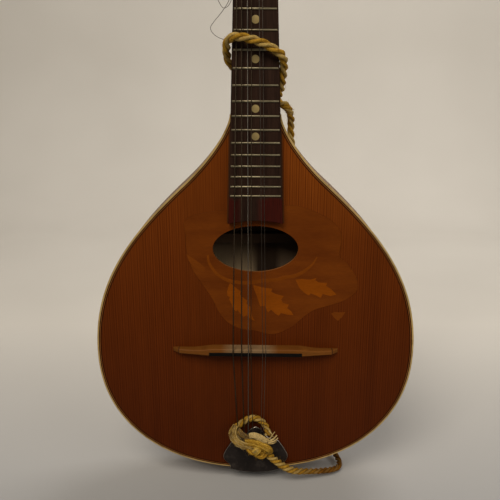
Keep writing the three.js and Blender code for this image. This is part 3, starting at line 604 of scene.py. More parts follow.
def frames(path):
    """(point, normal, binormal, distance so far) along a path, turned as little as possible."""
    out = []
    normal = None
    gone = 0.0
    for i, point in enumerate(path):
        tangent = heading(path, i)
        if normal is None:
            aside = Vector((0, 0, 1)) if abs(tangent.z) < 0.9 else Vector((1, 0, 0))
            normal = tangent.cross(aside).normalized()
        normal = (normal - tangent * normal.dot(tangent)).normalized()
        if i:
            gone += (point - path[i - 1]).length
        out.append((point, normal, tangent.cross(normal), gone))
    return out


def add_tube(solid, path, radius, sides, look=0):
    """A round tube along a path. The radius is a number or a function of the share of length."""
    stations = frames(path)
    rings = []
    for point, normal, binormal, gone in stations:
        size = radius(gone / stations[-1][3]) if callable(radius) else radius
        rings.append([point + (normal * c + binormal * s) * size for c, s in circle(sides)])
    return solid.rings(rings, look)


def disc(centre, axle, profile, sides=24):
    """A turned piece: profile is (radius, distance along the axle) from one end to the other."""
    axle = Vector(axle)
    aside = axle.orthogonal().normalized()
    other = axle.cross(aside)
    rings = []
    for radius, along in profile:
        middle = Vector(centre) + axle * along
        rings.append([middle + (aside * c + other * s) * radius for c, s in circle(sides)])
    return Solid().rings(rings)


def slab(outline, from_y, to_y, chamfer=0.0, holes=(), edge_look=0):
    """A plate in X and Z between two Y planes, with its front edges chamfered."""
    solid = Solid()
    fronts, backs = [], []
    for edge, sign in [(outline, 1), *((hole, -1) for hole in holes)]:
        front = flat_loop(solid, offset(edge, chamfer * sign), from_y)
        back = flat_loop(solid, edge, to_y)
        if chamfer:
            middle = flat_loop(solid, edge, from_y + chamfer)
            solid.band(front, middle, edge_look)
            solid.band(middle, back)
        else:
            solid.band(front, back)
        fronts.append(front)
        backs.append(back)
    solid.cap(*fronts)
    solid.cap(*backs)
    return solid


def flat_loop(solid, points, y):
    return solid.loop([(p.x, y, p.y) for p in points])


def offset(points, distance):
    """A closed outline moved inwards, or outwards if negative, whichever way it runs."""
    if not distance:
        return points
    area = sum(a.x * b.y - b.x * a.y for a, b in zip(points, [*points[1:], points[0]]))
    inwards = distance if area > 0 else -distance
    moved = []
    for i, p in enumerate(points):
        along = (points[(i + 1) % len(points)] - points[i - 1]).normalized()
        moved.append(p + Vector((-along.y, along.x)) * inwards)
    return moved


def ellipse(centre, across, along, count=72):
    return [Vector((centre[0] + across * c, centre[1] + along * s)) for c, s in circle(count)]


def smooth_step(value, start, end):
    share = min(1, max(0, (value - start) / (end - start)))
    return share * share * (3 - 2 * share)


# ---- Body ----
def half_outline():
    steps = 56
    points = []
    for i in range(steps + 1):
        turn = math.pi / 2 * i / steps
        x = WIDEST_X * math.sin(turn) ** (2 / BOUT_POWER)
        z = WIDEST_Z * (1 - max(0.0, math.cos(turn)) ** (2 / BOUT_POWER))
        points.append(Vector((x, z)))
    widest, bulge, flare, neck = SHOULDER_HANDLES
    along = Vector((-SHOULDER_SLOPE, 1)).normalized()
    turning = Vector(SHOULDER)
    upper = bezier_path(
        (WIDEST_X, WIDEST_Z),
        ((WIDEST_X, WIDEST_Z + widest), turning - along * bulge, turning),
        (turning + along * flare, (NECK_JOIN_X, BODY_TOP_Z - neck), (NECK_JOIN_X, BODY_TOP_Z)),
        steps=steps // 2,
    )
    return points + upper[1:]


OUTLINE = half_outline()


def inset(distance):
    """The right half of the body outline moved inwards."""
    along = [heading(OUTLINE, i) for i in range(len(OUTLINE))]
    along[0], along[-1] = Vector((1, 0)), Vector((0, 1))
    return [p + Vector((-a.y, a.x)) * distance for p, a in zip(OUTLINE, along)]


def body_loop(distance):
    right = inset(distance)
    return right + mirrored(reversed(right[1:]))


def closed_spline(corners):
    """Uniform Catmull-Rom through the corners and back to the first."""
    points = [Vector(c) for c in corners]
    steps = 5
    out = []
    for i in range(len(points)):
        p0, p1, p2, p3 = (points[(i + k - 1) % len(points)] for k in range(4))
        for t in (s / steps for s in range(steps)):
            bend = (2 * p0 - 5 * p1 + 4 * p2 - p3) * t * t + (3 * p1 - p0 - 3 * p2 + p3) * t ** 3
            out.append(0.5 * (2 * p1 + (p2 - p0) * t + bend))
    return out


INLAY_CORNERS = [
    (-50, 233), (-57, 215), (-54, 192), (-46, 177), (-37, 163), (-31, 150), (-24, 141), (-12, 134.5),
    (0, 132.8), (11, 129.8), (20, 131), (31.5, 137), (39, 144), (49, 151.4), (60, 155), (74, 160),
    (84, 168), (84, 179), (76, 192), (69, 199), (70, 216), (62, 228), (42, 238), (20, 241),
]


def build_top():
    board = Solid()
    edge = BINDING_WIDTH + FIT
    rebate = BINDING_WIDTH + sum(PURFLING) + FIT
    rows = ((rebate, 0), (rebate, PURFLING_DEPTH), (edge, PURFLING_DEPTH), (edge, TOP_THICK))
    outer = [flat_loop(board, body_loop(d), FRONT_Y + y) for d, y in rows]
    board.skin(outer)

    floor_y, back_y = FRONT_Y + INLAY_THICK, FRONT_Y + TOP_THICK
    pocket = closed_spline(INLAY_CORNERS)
    hole = ellipse((0, HOLE_Z), HOLE_ACROSS, HOLE_ALONG)
    pocket_front, pocket_floor = (flat_loop(board, pocket, y) for y in (FRONT_Y, floor_y))
    hole_front, hole_back = (flat_loop(board, hole, y) for y in (floor_y, back_y))
    board.cap(outer[0], pocket_front)
    board.band(pocket_front, pocket_floor)
    board.cap(pocket_floor, hole_front)
    board.band(hole_front, hole_back, 2)
    board.cap(outer[-1], hole_back, look=1)
    build("top_wood", board, ["top", "inner", "hole_edge"], replaces="soundboard")
    ground = slab(offset(pocket, 0.1), FRONT_Y, floor_y - GAP, 0.1, [hole])
    build("marquetry_ground", ground, "ground", replaces="pickguard_inlay")


STEM = [
    (-39, 199.5), (-38.5, 194), (-36, 189), (-32, 183.5), (-27, 180), (-21.5, 177.5), (-14, 176),
    (-2, 176), (5.5, 177.5), (18, 178.5), (24.5, 180.5), (31.5, 181.5), (39, 185), (47, 192), (50.5, 198),
]
LEAVES = {
    "bass": [
        (-21, 175.5), (-19, 174), (-16.5, 171.5), (-12, 168), (-13, 165.5), (-10.5, 163), (-7, 160),
        (-7.5, 157.5), (-3.5, 153.5), (-3.5, 150.5), (-2.5, 145.5), (-0.5, 142), (-4, 143.5),
        (-7.5, 147), (-10, 145.5), (-12, 147.5), (-15, 151.5), (-16.5, 150.5), (-19, 153), (-20, 157),
        (-22, 161), (-21.5, 163), (-23.5, 164.5), (-23.5, 168.5), (-22.5, 172.5),
    ],
    "middle": [
        (-2, 174), (1, 173), (7, 171.5), (14, 170.5), (13, 168), (16.5, 166), (23.5, 164),
        (21.5, 161), (23, 158), (28, 156.5), (26.5, 153.5), (30, 150.5), (32, 147), (26.5, 147.5),
        (21.5, 149), (19.5, 146.5), (16.5, 148.5), (13, 152), (10.5, 149.5), (9, 152.5), (8, 155.5),
        (4, 155), (2, 161), (0, 167), (-1.5, 171),
    ],
    "treble": [
        (33, 178.5), (38.5, 179), (45.5, 178.5), (50.5, 180), (49.5, 178), (52.5, 176), (59.5, 175.5),
        (58.5, 173), (63, 170), (67.5, 165.5), (62.5, 164), (56, 166), (54.5, 162.5), (50.5, 164.5),
        (46, 166.5), (44.5, 164.5), (40.5, 167), (37, 170.5), (34.5, 175),
    ],
    "far": [
        (63.5, 148.5), (66.5, 150), (70, 149.5), (75.5, 150), (73, 145.5), (69.5, 142), (66.5, 144.5),
    ],
    "near": [
        (-56.5, 200.5), (-51.5, 197), (-45.5, 192.5), (-41.5, 188.5), (-42, 184.5), (-46.5, 186),
        (-51, 189.5), (-54.5, 194),
    ],
}


def build_marquetry():
    """The stem and leaves are veneers laid in the ground; they stand 0.06 mm proud of it."""
    proud = FRONT_Y - 0.06
    route = smooth_route([(x, 0, z) for x, z in STEM], 1.6)
    left, right = [], []
    for i, point in enumerate(route):
        share = i / len(route)
        width = min(1.55, 0.9 + 2.2 * share, 0.35 + 6 * (1 - share))
        along = heading(route, i)
        aside = Vector((-along.z, along.x)) * width
        left.append(point.xz + aside)
        right.append(point.xz - aside)
    build("marquetry_stem", slab(left + right[::-1], proud, FRONT_Y, 0.04), "stem")
    for name, corners in LEAVES.items():
        leaf = slab([Vector(c) for c in corners], proud, FRONT_Y, 0.04)
        look = "faint_leaf" if name in ("far", "near") else "leaf"
        build(f"marquetry_leaf_{name}", leaf, look)


def edge_ring(outer, inner, from_y, to_y, rounding=0.0):
    """A strip bent round the body outline between two insets, open at the neck."""
    solid = Solid()
    deep = math.copysign(rounding, to_y - from_y)
    rows = ((inner, from_y), (outer + rounding, from_y), (outer + 0.3 * rounding, from_y + 0.3 * deep),
            (outer, from_y + deep), (outer, to_y), (inner, to_y))
    loops = [flat_loop(solid, body_loop(d), y) for d, y in rows]
    neck = len(OUTLINE) - 1
    for a, b in zip(loops, loops[1:] + loops[:1]):
        for i in range(len(a)):
            j = (i + 1) % len(a)
            if i != neck:
                solid.face((a[i], a[j], b[j], b[i]))
    for end in (neck, neck + 1):
        solid.face([loop[end] for loop in loops])
    return solid


def build_edges():
    top = edge_ring(0, BINDING_WIDTH, FRONT_Y, FRONT_Y + TOP_THICK, 0.6)
    build("edge_binding_top", top, "cream", replaces="top_binding")
    inner = BINDING_WIDTH
    for i, width in enumerate(PURFLING):
        strip = edge_ring(inner, inner + width, FRONT_Y, FRONT_Y + PURFLING_DEPTH - GAP)
        look = "purfling_light" if i == 1 else "purfling_dark"
        build(f"purfling_{i + 1}", strip, look)
        inner += width
    back = edge_ring(0, BINDING_WIDTH, BACK_Y, BACK_Y - BACK_THICK, 0.6)
    build("edge_binding_back", back, "cream", replaces="back_binding")


def build_sides():
    front, back = FRONT_Y + TOP_THICK + GAP, BACK_Y - BACK_THICK - GAP
    rows = ((GAP, front), (GAP, back), (RIM_THICK, back), (RIM_THICK, front))
    for side, word in SIDES:
        rim = Solid()
        loops = [flat_loop(rim, mirrored(inset(d), side), y) for d, y in rows]
        for k, (a, b) in enumerate(zip(loops, loops[1:] + loops[:1])):
            for i in range(len(a) - 1):
                rim.face((a[i], a[i + 1], b[i + 1], b[i]), 1 if k == 2 else 0)
        for end in (0, -1):
            rim.face([loop[end] for loop in loops])
        build(f"{word}_side", rim, ["side", "inner"], replaces=f"{word}_rim")


def back_panel(outline):
    """A slab of the back, with the second material on its face inside the body."""
    panel = slab(outline, BACK_Y - BACK_THICK, BACK_Y)
    for i, face in enumerate(panel.faces):
        panel.looks[i] = int(all(panel.points[v][1] < BACK_Y - BACK_THICK + 0.01 for v in face))
    return panel


def build_back():
    """Two book-matched halves with a dark centre strip."""
    half = 1.2
    edge = inset(BINDING_WIDTH + FIT)
    low, high = edge[0].y, edge[-1].y
    right = [Vector((half, low)), *(p for p in edge if p.x > half), Vector((half, high))]
    for side, word in SIDES:
        panel = back_panel(mirrored(right, side))
        build(f"back_half_{word}", panel, ["back", "inner"], replaces="back_plate")
    strip = back_panel([Vector(p) for p in ((-half, low), (half, low), (half, high), (-half, high))])
    build("back_centre_strip", strip, ["purfling_dark", "inner"])


def build_inside():
    for name in ("neck_block", "tail_block", "top_lining_left", "top_lining_right",
                 "back_lining_left", "back_lining_right"):
        dress(name, "inner", 0.2)
    for name in ("top_brace_upper", "top_brace_lower", "back_brace_upper", "back_brace_lower"):
        dress(name, "brace", 0.5)


# ---- Neck, board and frets ----
def neck_section(z, depth):
    half, count = board_half(z), 36
    turns = (math.pi * i / count for i in range(count + 1))
    return [(half * math.cos(t), NECK_Y + depth * max(0.0, math.sin(t)) ** 0.8, z) for t in turns]


def board_end(half, *rest):
    """The end over the soundhole, slightly hollow, and the rest of a board's outline."""
    return bezier_path((-half, BOARD_END_Z), ((0, BOARD_END_Z + 5), (half, BOARD_END_Z)),
                       *((corner,) for corner in rest), steps=16)


def build_neck():
    rings = []
    steps = 18
    foot = BODY_TOP_Z + 0.1
    for i in range(steps + 1):
        t = i / steps
        depth = NECK_DEPTH + (HEEL_DEPTH - NECK_DEPTH) * (1 - t) ** 2
        rings.append(neck_section(foot + (HEEL_TOP_Z - foot) * t, depth))
    rings.append(neck_section(fret_z(3), NECK_DEPTH - 1))
    rings.append(neck_section(NUT_Z + NUT_LENGTH + 0.3, NECK_DEPTH - 1))
    build("neck_shaft", Solid().rings(rings), "neck", replaces="neck", sharp=50)

    gone_z, top_z = RISER_LIP_END_Z + RISER_LIP_FADE, BODY_TOP_Z + 4
    right = [(board_half(RISER_LIP_END_Z) + RISER_LIP, RISER_LIP_END_Z), (board_half(gone_z), gone_z),
             (board_half(top_z), top_z)]
    outline = board_end(board_half(BOARD_END_Z) + RISER_LIP, *right, *((-x, z) for x, z in right[::-1]))
    tongue = slab(outline, NECK_Y, FRONT_Y - GAP, 0.2)
    build("neck_tongue", tongue, "riser", replaces="neck")
    dress("heel_cap", "ebony", 0.4)


def build_board():
    high, top = board_half(NUT_Z), NUT_Z - 0.05
    outline = board_end(board_half(BOARD_END_Z), (high, top), (-high, top))
    board = slab(outline, BOARD_Y, NECK_Y - GAP, 0.35)
    build("fret_board", board, "rosewood", replaces="fingerboard")
    for fret in range(1, FRET_COUNT + 1):
        z = fret_z(fret)
        half = board_half(z) - 0.9
        rings = []
        for x, share in ((-half, 0.35), (-half + 0.5, 1), (half - 0.5, 1), (half, 0.35)):
            crown = (math.pi * k / 10 for k in range(11))
            rings.append([(x, BOARD_Y - 0.9 * share * math.sin(t), z + 0.8 * math.cos(t)) for t in crown])
        build(f"fret_{fret}", Solid().rings(rings), "fret", sharp=60)
    for fret in DOT_FRETS:
        middle = (fret_z(fret) + fret_z(fret - 1)) / 2
        profile = [(AXIS, -0.4), (DOT_RADIUS, -0.4), (DOT_RADIUS, 0.02), (DOT_RADIUS - 0.3, 0.08),
                   (AXIS, 0.12)]
        dot = disc((0, BOARD_Y, middle), (0, -1, 0), profile, 32)
        build(f"position_dot_{fret}", dot, "pearl")


def build_nut():
    """A bone nut with a groove for each of the eight strings."""
    nut = Solid()
    half = BOARD_WIDTH_NUT / 2
    crest, floor = NUT_TOP_Y - 0.75, NUT_TOP_Y - 0.2
    profile = [(-half, NECK_Y - 0.1), (-half, crest + 0.8), (-half + 0.8, crest)]
    for x, radius in [*zip(STRING_AT_NUT, STRING_RADIUS), *EMPTY_GROOVES]:
        width = radius + 0.12
        profile += [(x - width, crest), (x - width * 0.8, floor), (x + width * 0.8, floor),
                    (x + width, crest)]
    profile += [(half - 0.8, crest), (half, crest + 0.8), (half, NECK_Y - 0.1)]
    loops = [nut.loop([(x, y, z) for x, y in profile]) for z in (NUT_Z, NUT_Z + NUT_LENGTH)]
    nut.band(*loops)
    for loop in loops:
        nut.cap(loop)
    build("string_nut", nut, "bone", replaces="nut")


# ---- Headstock and tuners ----
def headstock_outline(shrink):
    half, top = BOARD_WIDTH_NUT / 2, HEADSTOCK_LENGTH
    right = bezier_path(
        (half, 0), ((half, 6), (24, 8), (24.5, 17)), ((26, top - 22),),
        ((26.5, top - 8), (18, top - 4), (11, top - 5)), ((6, top - 5), (0, top)), steps=10,
    )
    return offset(right + mirrored(reversed(right[:-1])), shrink)


def post_place(i):
    side = -1 if i < 4 else 1
    return side, side * POST_X, POST_FIRST_Z + POST_PITCH * (i % 4)


def build_headstock():
    holes = [ellipse(post_place(i)[1:], 3.7, 3.7, 20) for i in range(8)]
    paddle = slab(headstock_outline(0), 0, HEADSTOCK_THICK, 0, holes)
    build("headstock_wood", paddle, "neck", replaces="neck", where=HEADSTOCK)
    face = slab(headstock_outline(0.3), -VENEER, -GAP, 0.4, holes)
    build("headstock_face", face, "rosewood", replaces="headstock_veneer", where=HEADSTOCK)
    profile = [(3.6, -0.4), (5.4, -VENEER), (5.4, -VENEER - 0.3), (4.9, -VENEER - 0.7),
               (3.9, -VENEER - 0.8), (3.5, -VENEER - 0.5)]
    for i in range(8):
        ferrule = Solid()
        loops = [flat_loop(ferrule, ellipse(post_place(i)[1:], r, r, 28), y) for r, y in profile]
        ferrule.skin([*loops, loops[0]])
        build(f"ferrule_{i + 1}", ferrule, "nickel", where=HEADSTOCK)




def gear_outline():
    points = []
    for i in range(GEAR_TEETH):
        tooth = ((-0.3, GEAR_ROOT), (-0.14, GEAR_RADIUS), (0.14, GEAR_RADIUS), (0.3, GEAR_ROOT))
        for share, radius in tooth:
            turn = 2 * math.pi * (i + share) / GEAR_TEETH
            points.append(Vector((math.cos(turn), math.sin(turn))) * radius)
    return points


def add_slot(solid, centre, half):
    """A raised bar stands for the driver slot's shadow line."""
    x, y, z = centre
    corners = ((-0.3, -0.2), (-0.3, 0.2), (0, 0.2), (0, -0.2))
    solid.rings([[(end, y + dy, z + dz) for dy, dz in corners] for end in (x - half, x + half)])


def build_post(i):
    """A string post with its capstan waist, and the gear screwed on behind."""
    _, x, z = post_place(i)
    where = HEADSTOCK @ Matrix.Translation((x, 0, z))
    body = f"post_{i + 1}"
    back, tip = HEADSTOCK_THICK + 2.7, -POST_PROUD
    post = disc((0, 0, 0), (0, 1, 0), [
        (AXIS, tip), (2.2, tip), (2.9, tip + 0.6), (3, tip + 2.2), (2.5, tip + 3.4), (2.35, -8),
        (2.5, -4.6), (3, -3.6), (3, back), (AXIS, back),
    ], 28)
    build(f"{body}_capstan", post, "nickel", body, f"string_{body}", where=where)
    gear = slab(gear_outline(), WORM_Y - 1.5, WORM_Y + 1.5, 0.2)
    build(f"{body}_gear", gear, "plate", body, where=where)
    screw = disc((0, WORM_Y + 1.5, 0), (0, 1, 0),
                 [(AXIS, 0), (2.3, 0), (2.2, 0.5), (1.5, 0.95), (AXIS, 1.05)])
    add_slot(screw, (0, WORM_Y + 2.62, 0), 1.9)
    build(f"{body}_screw", screw, "nickel", body, where=where)


def build_button(i):
    """A worm shaft between the plate's ears, with an oval button on its end."""
    side, _, z = post_place(i)
    where = HEADSTOCK @ Matrix.Translation((0, WORM_Y, z + WORM_OFFSET))
    body = f"button_{i + 1}"
    shaft = disc((0, 0, 0), (side, 0, 0), [
        (AXIS, 6.5), (1.1, 6.6), (1.2, 6.9), (1.2, 9.7), (1.45, 9.8), (1.45, 19.4), (1.2, 19.5),
        (1.2, 21.4), (2, 21.5), (2, 22.3), (1.3, 22.4), (1.3, 33.2), (2, 33.3), (2, 35), (AXIS, 35),
    ], 20)
    build(f"tuner_{i + 1}_shaft", shaft, "nickel", body, f"tuner_{body}", where=where)
    per_turn = 14
    count = 5 * per_turn
    path = []
    for k in range(count + 1):
        angle = 2 * math.pi * k / per_turn
        path.append(Vector((side * (10.7 + 7.8 * k / count), 1.6 * math.cos(angle), 1.6 * math.sin(angle))))
    worm = add_tube(Solid(), path, lambda share: 0.55 * min(1, 8 * share + 0.2, 8 * (1 - share) + 0.2), 6)
    build(f"tuner_{i + 1}_worm", worm, "nickel", body, where=where)
    rings = []
    steps = 18
    for k in range(steps + 1):
        turn = math.pi * k / steps
        swell = max(0.02, math.sin(turn)) ** 0.75
        x = side * (39.4 - 6.6 * math.cos(turn))
        rings.append([(x, 3.4 * swell * c, 7.4 * swell * s) for c, s in circle(28)])
    build(f"tuner_{i + 1}_button", Solid().rings(rings), "button", body, where=where)


def build_plates():
    heights = [POST_FIRST_Z - 4.6, *(POST_FIRST_Z + POST_PITCH * (i + 0.62) + 1 for i in range(3)),
               POST_FIRST_Z + 3 * POST_PITCH + 12.6]
    for side, word in ((-1, "bass"), (1, "treble")):
        dress(f"tuner_plate_{word}", "plate", 0.15)
        for k, z in enumerate(heights):
            x = side * (14.5 if k in (0, 4) else 18.6)
            screw = disc((x, HEADSTOCK_THICK + 1.25, z), (0, 1, 0),
                         [(AXIS, -1), (1.6, -1), (1.6, 0), (1.2, 0.5), (AXIS, 0.65)], 20)
            add_slot(screw, (x, HEADSTOCK_THICK + 1.95, z), 1.2)
            build(f"plate_{word}_screw_{k + 1}", screw, "nickel", where=HEADSTOCK)


# ---- Bridge and saddle ----
def bridge_section(x, reach):
    """The bridge cut across at `x`: thicker and higher under the saddle than along its arms."""
    away = abs(x)
    height = BRIDGE_HEIGHT - 4.2 * max(0, away - SADDLE_HALF) / (BRIDGE_ARM_END - SADDLE_HALF)
    if away > BRIDGE_ARM_END:
        height = 0.6 + (height - 0.6) * (reach - away) / (reach - BRIDGE_ARM_END)
    front = BRIDGE_Z - 0.2 - BRIDGE_SKEW * x
    back = front + 3.7 + 2.1 * smooth_step(away, 54, 34)
    corners = ((0, front), (height - 0.4, front), (height, front + 0.4), (height, back - 0.7),
               (height - 0.7, back), (0, back))
    return [(x, BRIDGE_FOOT_Y - up, z) for up, z in corners]


def build_bridge():
    blade = Solid()
    reach, edge = BRIDGE_HALF + 2, BRIDGE_ARM_END
    places = [-reach, -edge - 0.8, -edge, *(4.0 * k for k in range(-15, 16)), edge, edge + 0.8, reach]
    loops = [blade.loop(bridge_section(x, reach)) for x in places]
    for x, a, b in zip(places, loops, loops[1:]):
        blade.band(a, b, 1 if x in (-edge - 0.8, edge) else 0)
    blade.face(loops[0])
    blade.face(loops[-1])
    build("bridge_blade", blade, ["bridge", "bridge_cut"], "bridge", "bridge_base", sharp=24)

    foot = Solid()
    base = [Vector(p) for p in ((-50, 0), (50, 0), (48, 2.4), (46, 3), (-46, 3), (-48, 2.4))]
    loops = [foot.loop([(p.x, BRIDGE_FOOT_Y - p.y, BRIDGE_Z + z) for p in offset(base, shrink)])
             for z, shrink in ((-3, 0.5), (-2.5, 0), (0.5, 0))]
    foot.skin(loops)
    foot.cap(loops[0])
    foot.cap(loops[-1])
    build("bridge_foot", foot, "bridge", "bridge", "bridge_base")

    rings = []
    for x in (-SADDLE_HALF, 8 - SADDLE_HALF, 0, SADDLE_HALF - 8, SADDLE_HALF):
        rise_here = SADDLE_RISE if abs(x) < SADDLE_HALF else 0.05
        front = BRIDGE_Z - 0.5 - BRIDGE_SKEW * x
        section = ((3, front), (-0.1, front), (-rise_here, front + 1.5),
                   (-rise_here, front + SADDLE_DEPTH - 0.3), (0.2, front + SADDLE_DEPTH))
        rings.append([(x, BRIDGE_TOP_Y + up, z) for up, z in section])
    build("saddle_strip", Solid().rings(rings), "ebony", "bridge", "bridge_saddle", sharp=12)


# ---- Tailpiece and end pin ----
def build_tailpiece():
    face_y, thick = FRONT_Y - 2, 1.2
    right = bezier_path(
        (0, -3.6), ((14, -3.4), (23, 0.5)), ((21.5, 4), (25, 6.5)), ((30.5, 11), (29, 15), (26, 20)),
        ((22.5, 26), (20, 29)), ((12, 30), (8, 35)), ((4.5, 42), (0, 42.5)), steps=9,
    )
    # The chamfered front edge takes the second material: worn bare metal with a painted highlight.
    cover = slab(right + mirrored(reversed(right[1:-1])), face_y, face_y + thick, 0.35, edge_look=1)
    build("tailpiece_cover", cover, ["tailpiece", "worn_edge_and_highlight"],
          replaces="tailpiece")
    outside = bezier_path((-22.5, 0.3), ((-14, -3.4), (0, -3.55)), ((14, -3.4), (22.5, 0.3)), steps=12)
    inside = bezier_path((22.5, 0.55), ((14, -2), (0, -2.2)), ((-14, -2), (-22.5, 0.55)), steps=12)
    flange = slab(outside + inside, face_y + 0.5, 9)
    build("tailpiece_flange", flange, "tailpiece", replaces="tailpiece")
    for k, (x, z) in enumerate([*zip(STRING_AT_TAIL, HOOK_Z), *SPARE_HOOKS]):
        path = smooth_route([(x, face_y + 0.4, z - 7.2), (x, face_y - 2, z - 5.4),
                             (x, HOOK_Y - 0.4, z - 3.4), (x, HOOK_Y - 1.0, z - 4.4)], 0.6)
        hook = add_tube(Solid(), path, 0.55, 8)
        build(f"string_hook_{k + 1}", hook, "tailpiece")
    pin = disc((0, 0, 0), (0, 0, -1), [
        (AXIS, -22), (4, -22), (4, 4), (7.2, 4.6), (7.9, 5.6), (8, 8), (7.3, 9.6), (5.2, 11.4),
        (2.5, 11.9), (AXIS, 12),
    ], 36)
    build("strap_pin", pin, "ebony", replaces="end_pin")


# ---- Strings ----
def build_string(i, radius, look):
    """A string from its hook over the saddle and nut to its post, its twisted eye and its winding."""
    post = STRING_POST[i]
    side, x, z = post_place(post)
    reach, height = POST_REACH + radius, -POST_WRAP[post % 4]
    first = Vector((STRING_AT_TAIL[i], HOOK_Y, HOOK_Z[i]))
    stations = [
        first,
        Vector((STRING_AT_SADDLE[i], SADDLE_TOP_Y - 0.5 - radius, BRIDGE_Z + 2)),
        Vector((STRING_AT_NUT[i], NUT_TOP_Y - 0.3 - radius, NUT_Z + NUT_LENGTH + 0.3)),
        HEADSTOCK @ Vector((x - side * reach, height, z)),
    ]
    path = []
    for a, b in zip(stations, stations[1:]):
        steps = max(1, round((b - a).length / 12))
        path += [a.lerp(b, s / steps) for s in range(steps)]
    string = add_tube(Solid(), [*path, stations[-1]], radius, 10)
    build(f"strung_{i + 1}", string, look, replaces=f"string_{i + 1}")

    along = (stations[1] - first).normalized()
    turns = (math.pi * (1.12 + 1.76 * k / 16) for k in range(17))
    eye = [first + Vector((1.1 * math.sin(t), -0.1, -2.2 * math.cos(t) - 1.6)) for t in turns]
    loop_end = add_tube(Solid(), eye, min(radius, 0.28), 8)
    aside = along.orthogonal().normalized()
    other = along.cross(aside)
    twist = []
    for k in range(61):
        turn = math.pi * k / 4
        out = aside * math.cos(turn) + other * math.sin(turn)
        twist.append(first + along * (9 * k / 60) + out * (radius + 0.16))
    add_tube(loop_end, twist, 0.2, 6)
    build(f"string_eye_{i + 1}", loop_end, "wire")

    helix = []
    for k in range(81):
        turn = math.pi * k / 10
        helix.append(Vector((-side * reach * math.cos(turn), height + 2.05 * radius * k / 20,
                             reach * math.sin(turn))))
    build(f"post_{post + 1}_winding", add_tube(Solid(), helix, radius, 8), look, f"post_{post + 1}",
          where=HEADSTOCK @ Matrix.Translation((x, 0, z)))


# ---- Rope ----
def add_rope(solid, path, radius, pitches, start_turn=0.0, taper=None, look=None):
    """S-laid rope with its pitch given at both ends. Each strand carries its own yarns and is gold
    and pale by turns, so that the lobes seen from the front take turns too."""
    first, last = pitches
    strands = 3
    strand = radius / 2.12
    lay = strand * 1.15
    sides = 14
    stations = frames(path)
    total = stations[-1][3]
    tighten = (1 / last - 1 / first) / (2 * total)
    facing = []
    for _, normal, binormal, _ in stations:
        angle = math.atan2(-binormal.y, -normal.y)
        while facing and angle - facing[-1] > math.pi:
            angle -= 2 * math.pi
        while facing and facing[-1] - angle > math.pi:
            angle += 2 * math.pi
        facing.append(angle)
    for k in range(strands):
        loops, looks = [], []
        for (point, normal, binormal, gone), front in zip(stations, facing):
            size = taper(gone / total) if taper else 1.0
            turn = start_turn - 2 * math.pi * (gone / first + tighten * gone * gone + k / strands)
            lap = math.floor((front - turn) / (2 * math.pi) + 0.5)
            looks.append((strands * lap - k) % 2 if look is None else look)
            out = normal * math.cos(turn) + binormal * math.sin(turn)
            across = binormal * math.cos(turn) - normal * math.sin(turn)
            centre = point + out * lay * size
            ring = []
            for s in range(sides):
                angle = 2 * math.pi * s / sides
                yarns = 1 + 0.06 * math.sin(5 * angle - 2 * math.pi * gone / (0.45 * last))
                spoke = out * math.cos(angle) + across * math.sin(angle)
                ring.append(centre + spoke * strand * size * yarns)
            loops.append(solid.loop(ring))
        for a, b, shown in zip(loops, loops[1:], looks):
            solid.band(a, b, shown)
        solid.face(loops[0], looks[0])
        solid.face(loops[-1], looks[-1])


def add_hairs(solid, path, count, reach, seed, spread, look, thick=0.07):
    """Short stray fibres that lift off a path."""
    chance = random.Random(seed)
    stations = frames(path)
    for _ in range(count):
        point, normal, binormal, _ = chance.choice(stations)
        turn = chance.uniform(0, 2 * math.pi)
        out = normal * math.cos(turn) + binormal * math.sin(turn)
        along = binormal.cross(normal) * chance.choice((-1, 1))
        length = reach * chance.uniform(0.5, 1.3)
        start = point + out * spread * chance.uniform(0.86, 1.0)
        lean = (along + out * chance.uniform(0.15, 0.7)).normalized()
        curl = out * chance.uniform(-0.2, 0.35) * length
        hair = [start + lean * length * t + curl * t * t for t in (0, 0.35, 0.7, 1)]
        add_tube(solid, hair, lambda share: thick * (1 - 0.7 * share), 3, look)


def add_fibres(solid, hank, seed, looks=(0,)):
    """A hank of loose fibres that wander side by side."""
    route, count, width, flat, thick, fan, overrun = hank
    chance = random.Random(seed)
    path = smooth_route(route, 1.5)
    stations = frames(path)
    onwards = heading(path, len(path) - 1)
    front = Vector((0, -1, 0))
    for _ in range(count):
        a = chance.uniform(-1, 1)
        b = chance.uniform(-1, 1) * math.sqrt(1 - a * a)
        phase, beat = chance.uniform(0, 2 * math.pi), chance.uniform(0.25, 0.6)
        roam = chance.uniform(0.1, 0.3) * width
        look = chance.choice(looks)
        stop = len(path) - chance.choice((0, 0, 1, 2))
        first = int(len(path) * chance.choice((0, 0, 0, 0.1, 0.2)))
        line = []
        for i in range(first, stop):
            aside = heading(path, i).cross(front).normalized()
            gone = stations[i][3]
            share = gone / stations[-1][3]
            swell = 0.45 + 0.6 * math.sin(math.pi * min(0.7, 0.1 + share)) ** 0.5 + fan * share * share
            wave = roam * math.sin(phase + gone * beat)
            line.append(path[i] + aside * (a * width * swell + wave) + front * (b * flat * swell + wave))
        stray = onwards + Vector((wave, 0, wave)) * 0.3
        line.append(line[-1] + stray * chance.uniform(0.2, 1) * overrun)
        add_tube(solid, line, lambda share: thick * (1 - 0.35 * share), 5, look)


ROPE_LOOKS = ["rope_gold", "rope_pale", "rope_bright"]
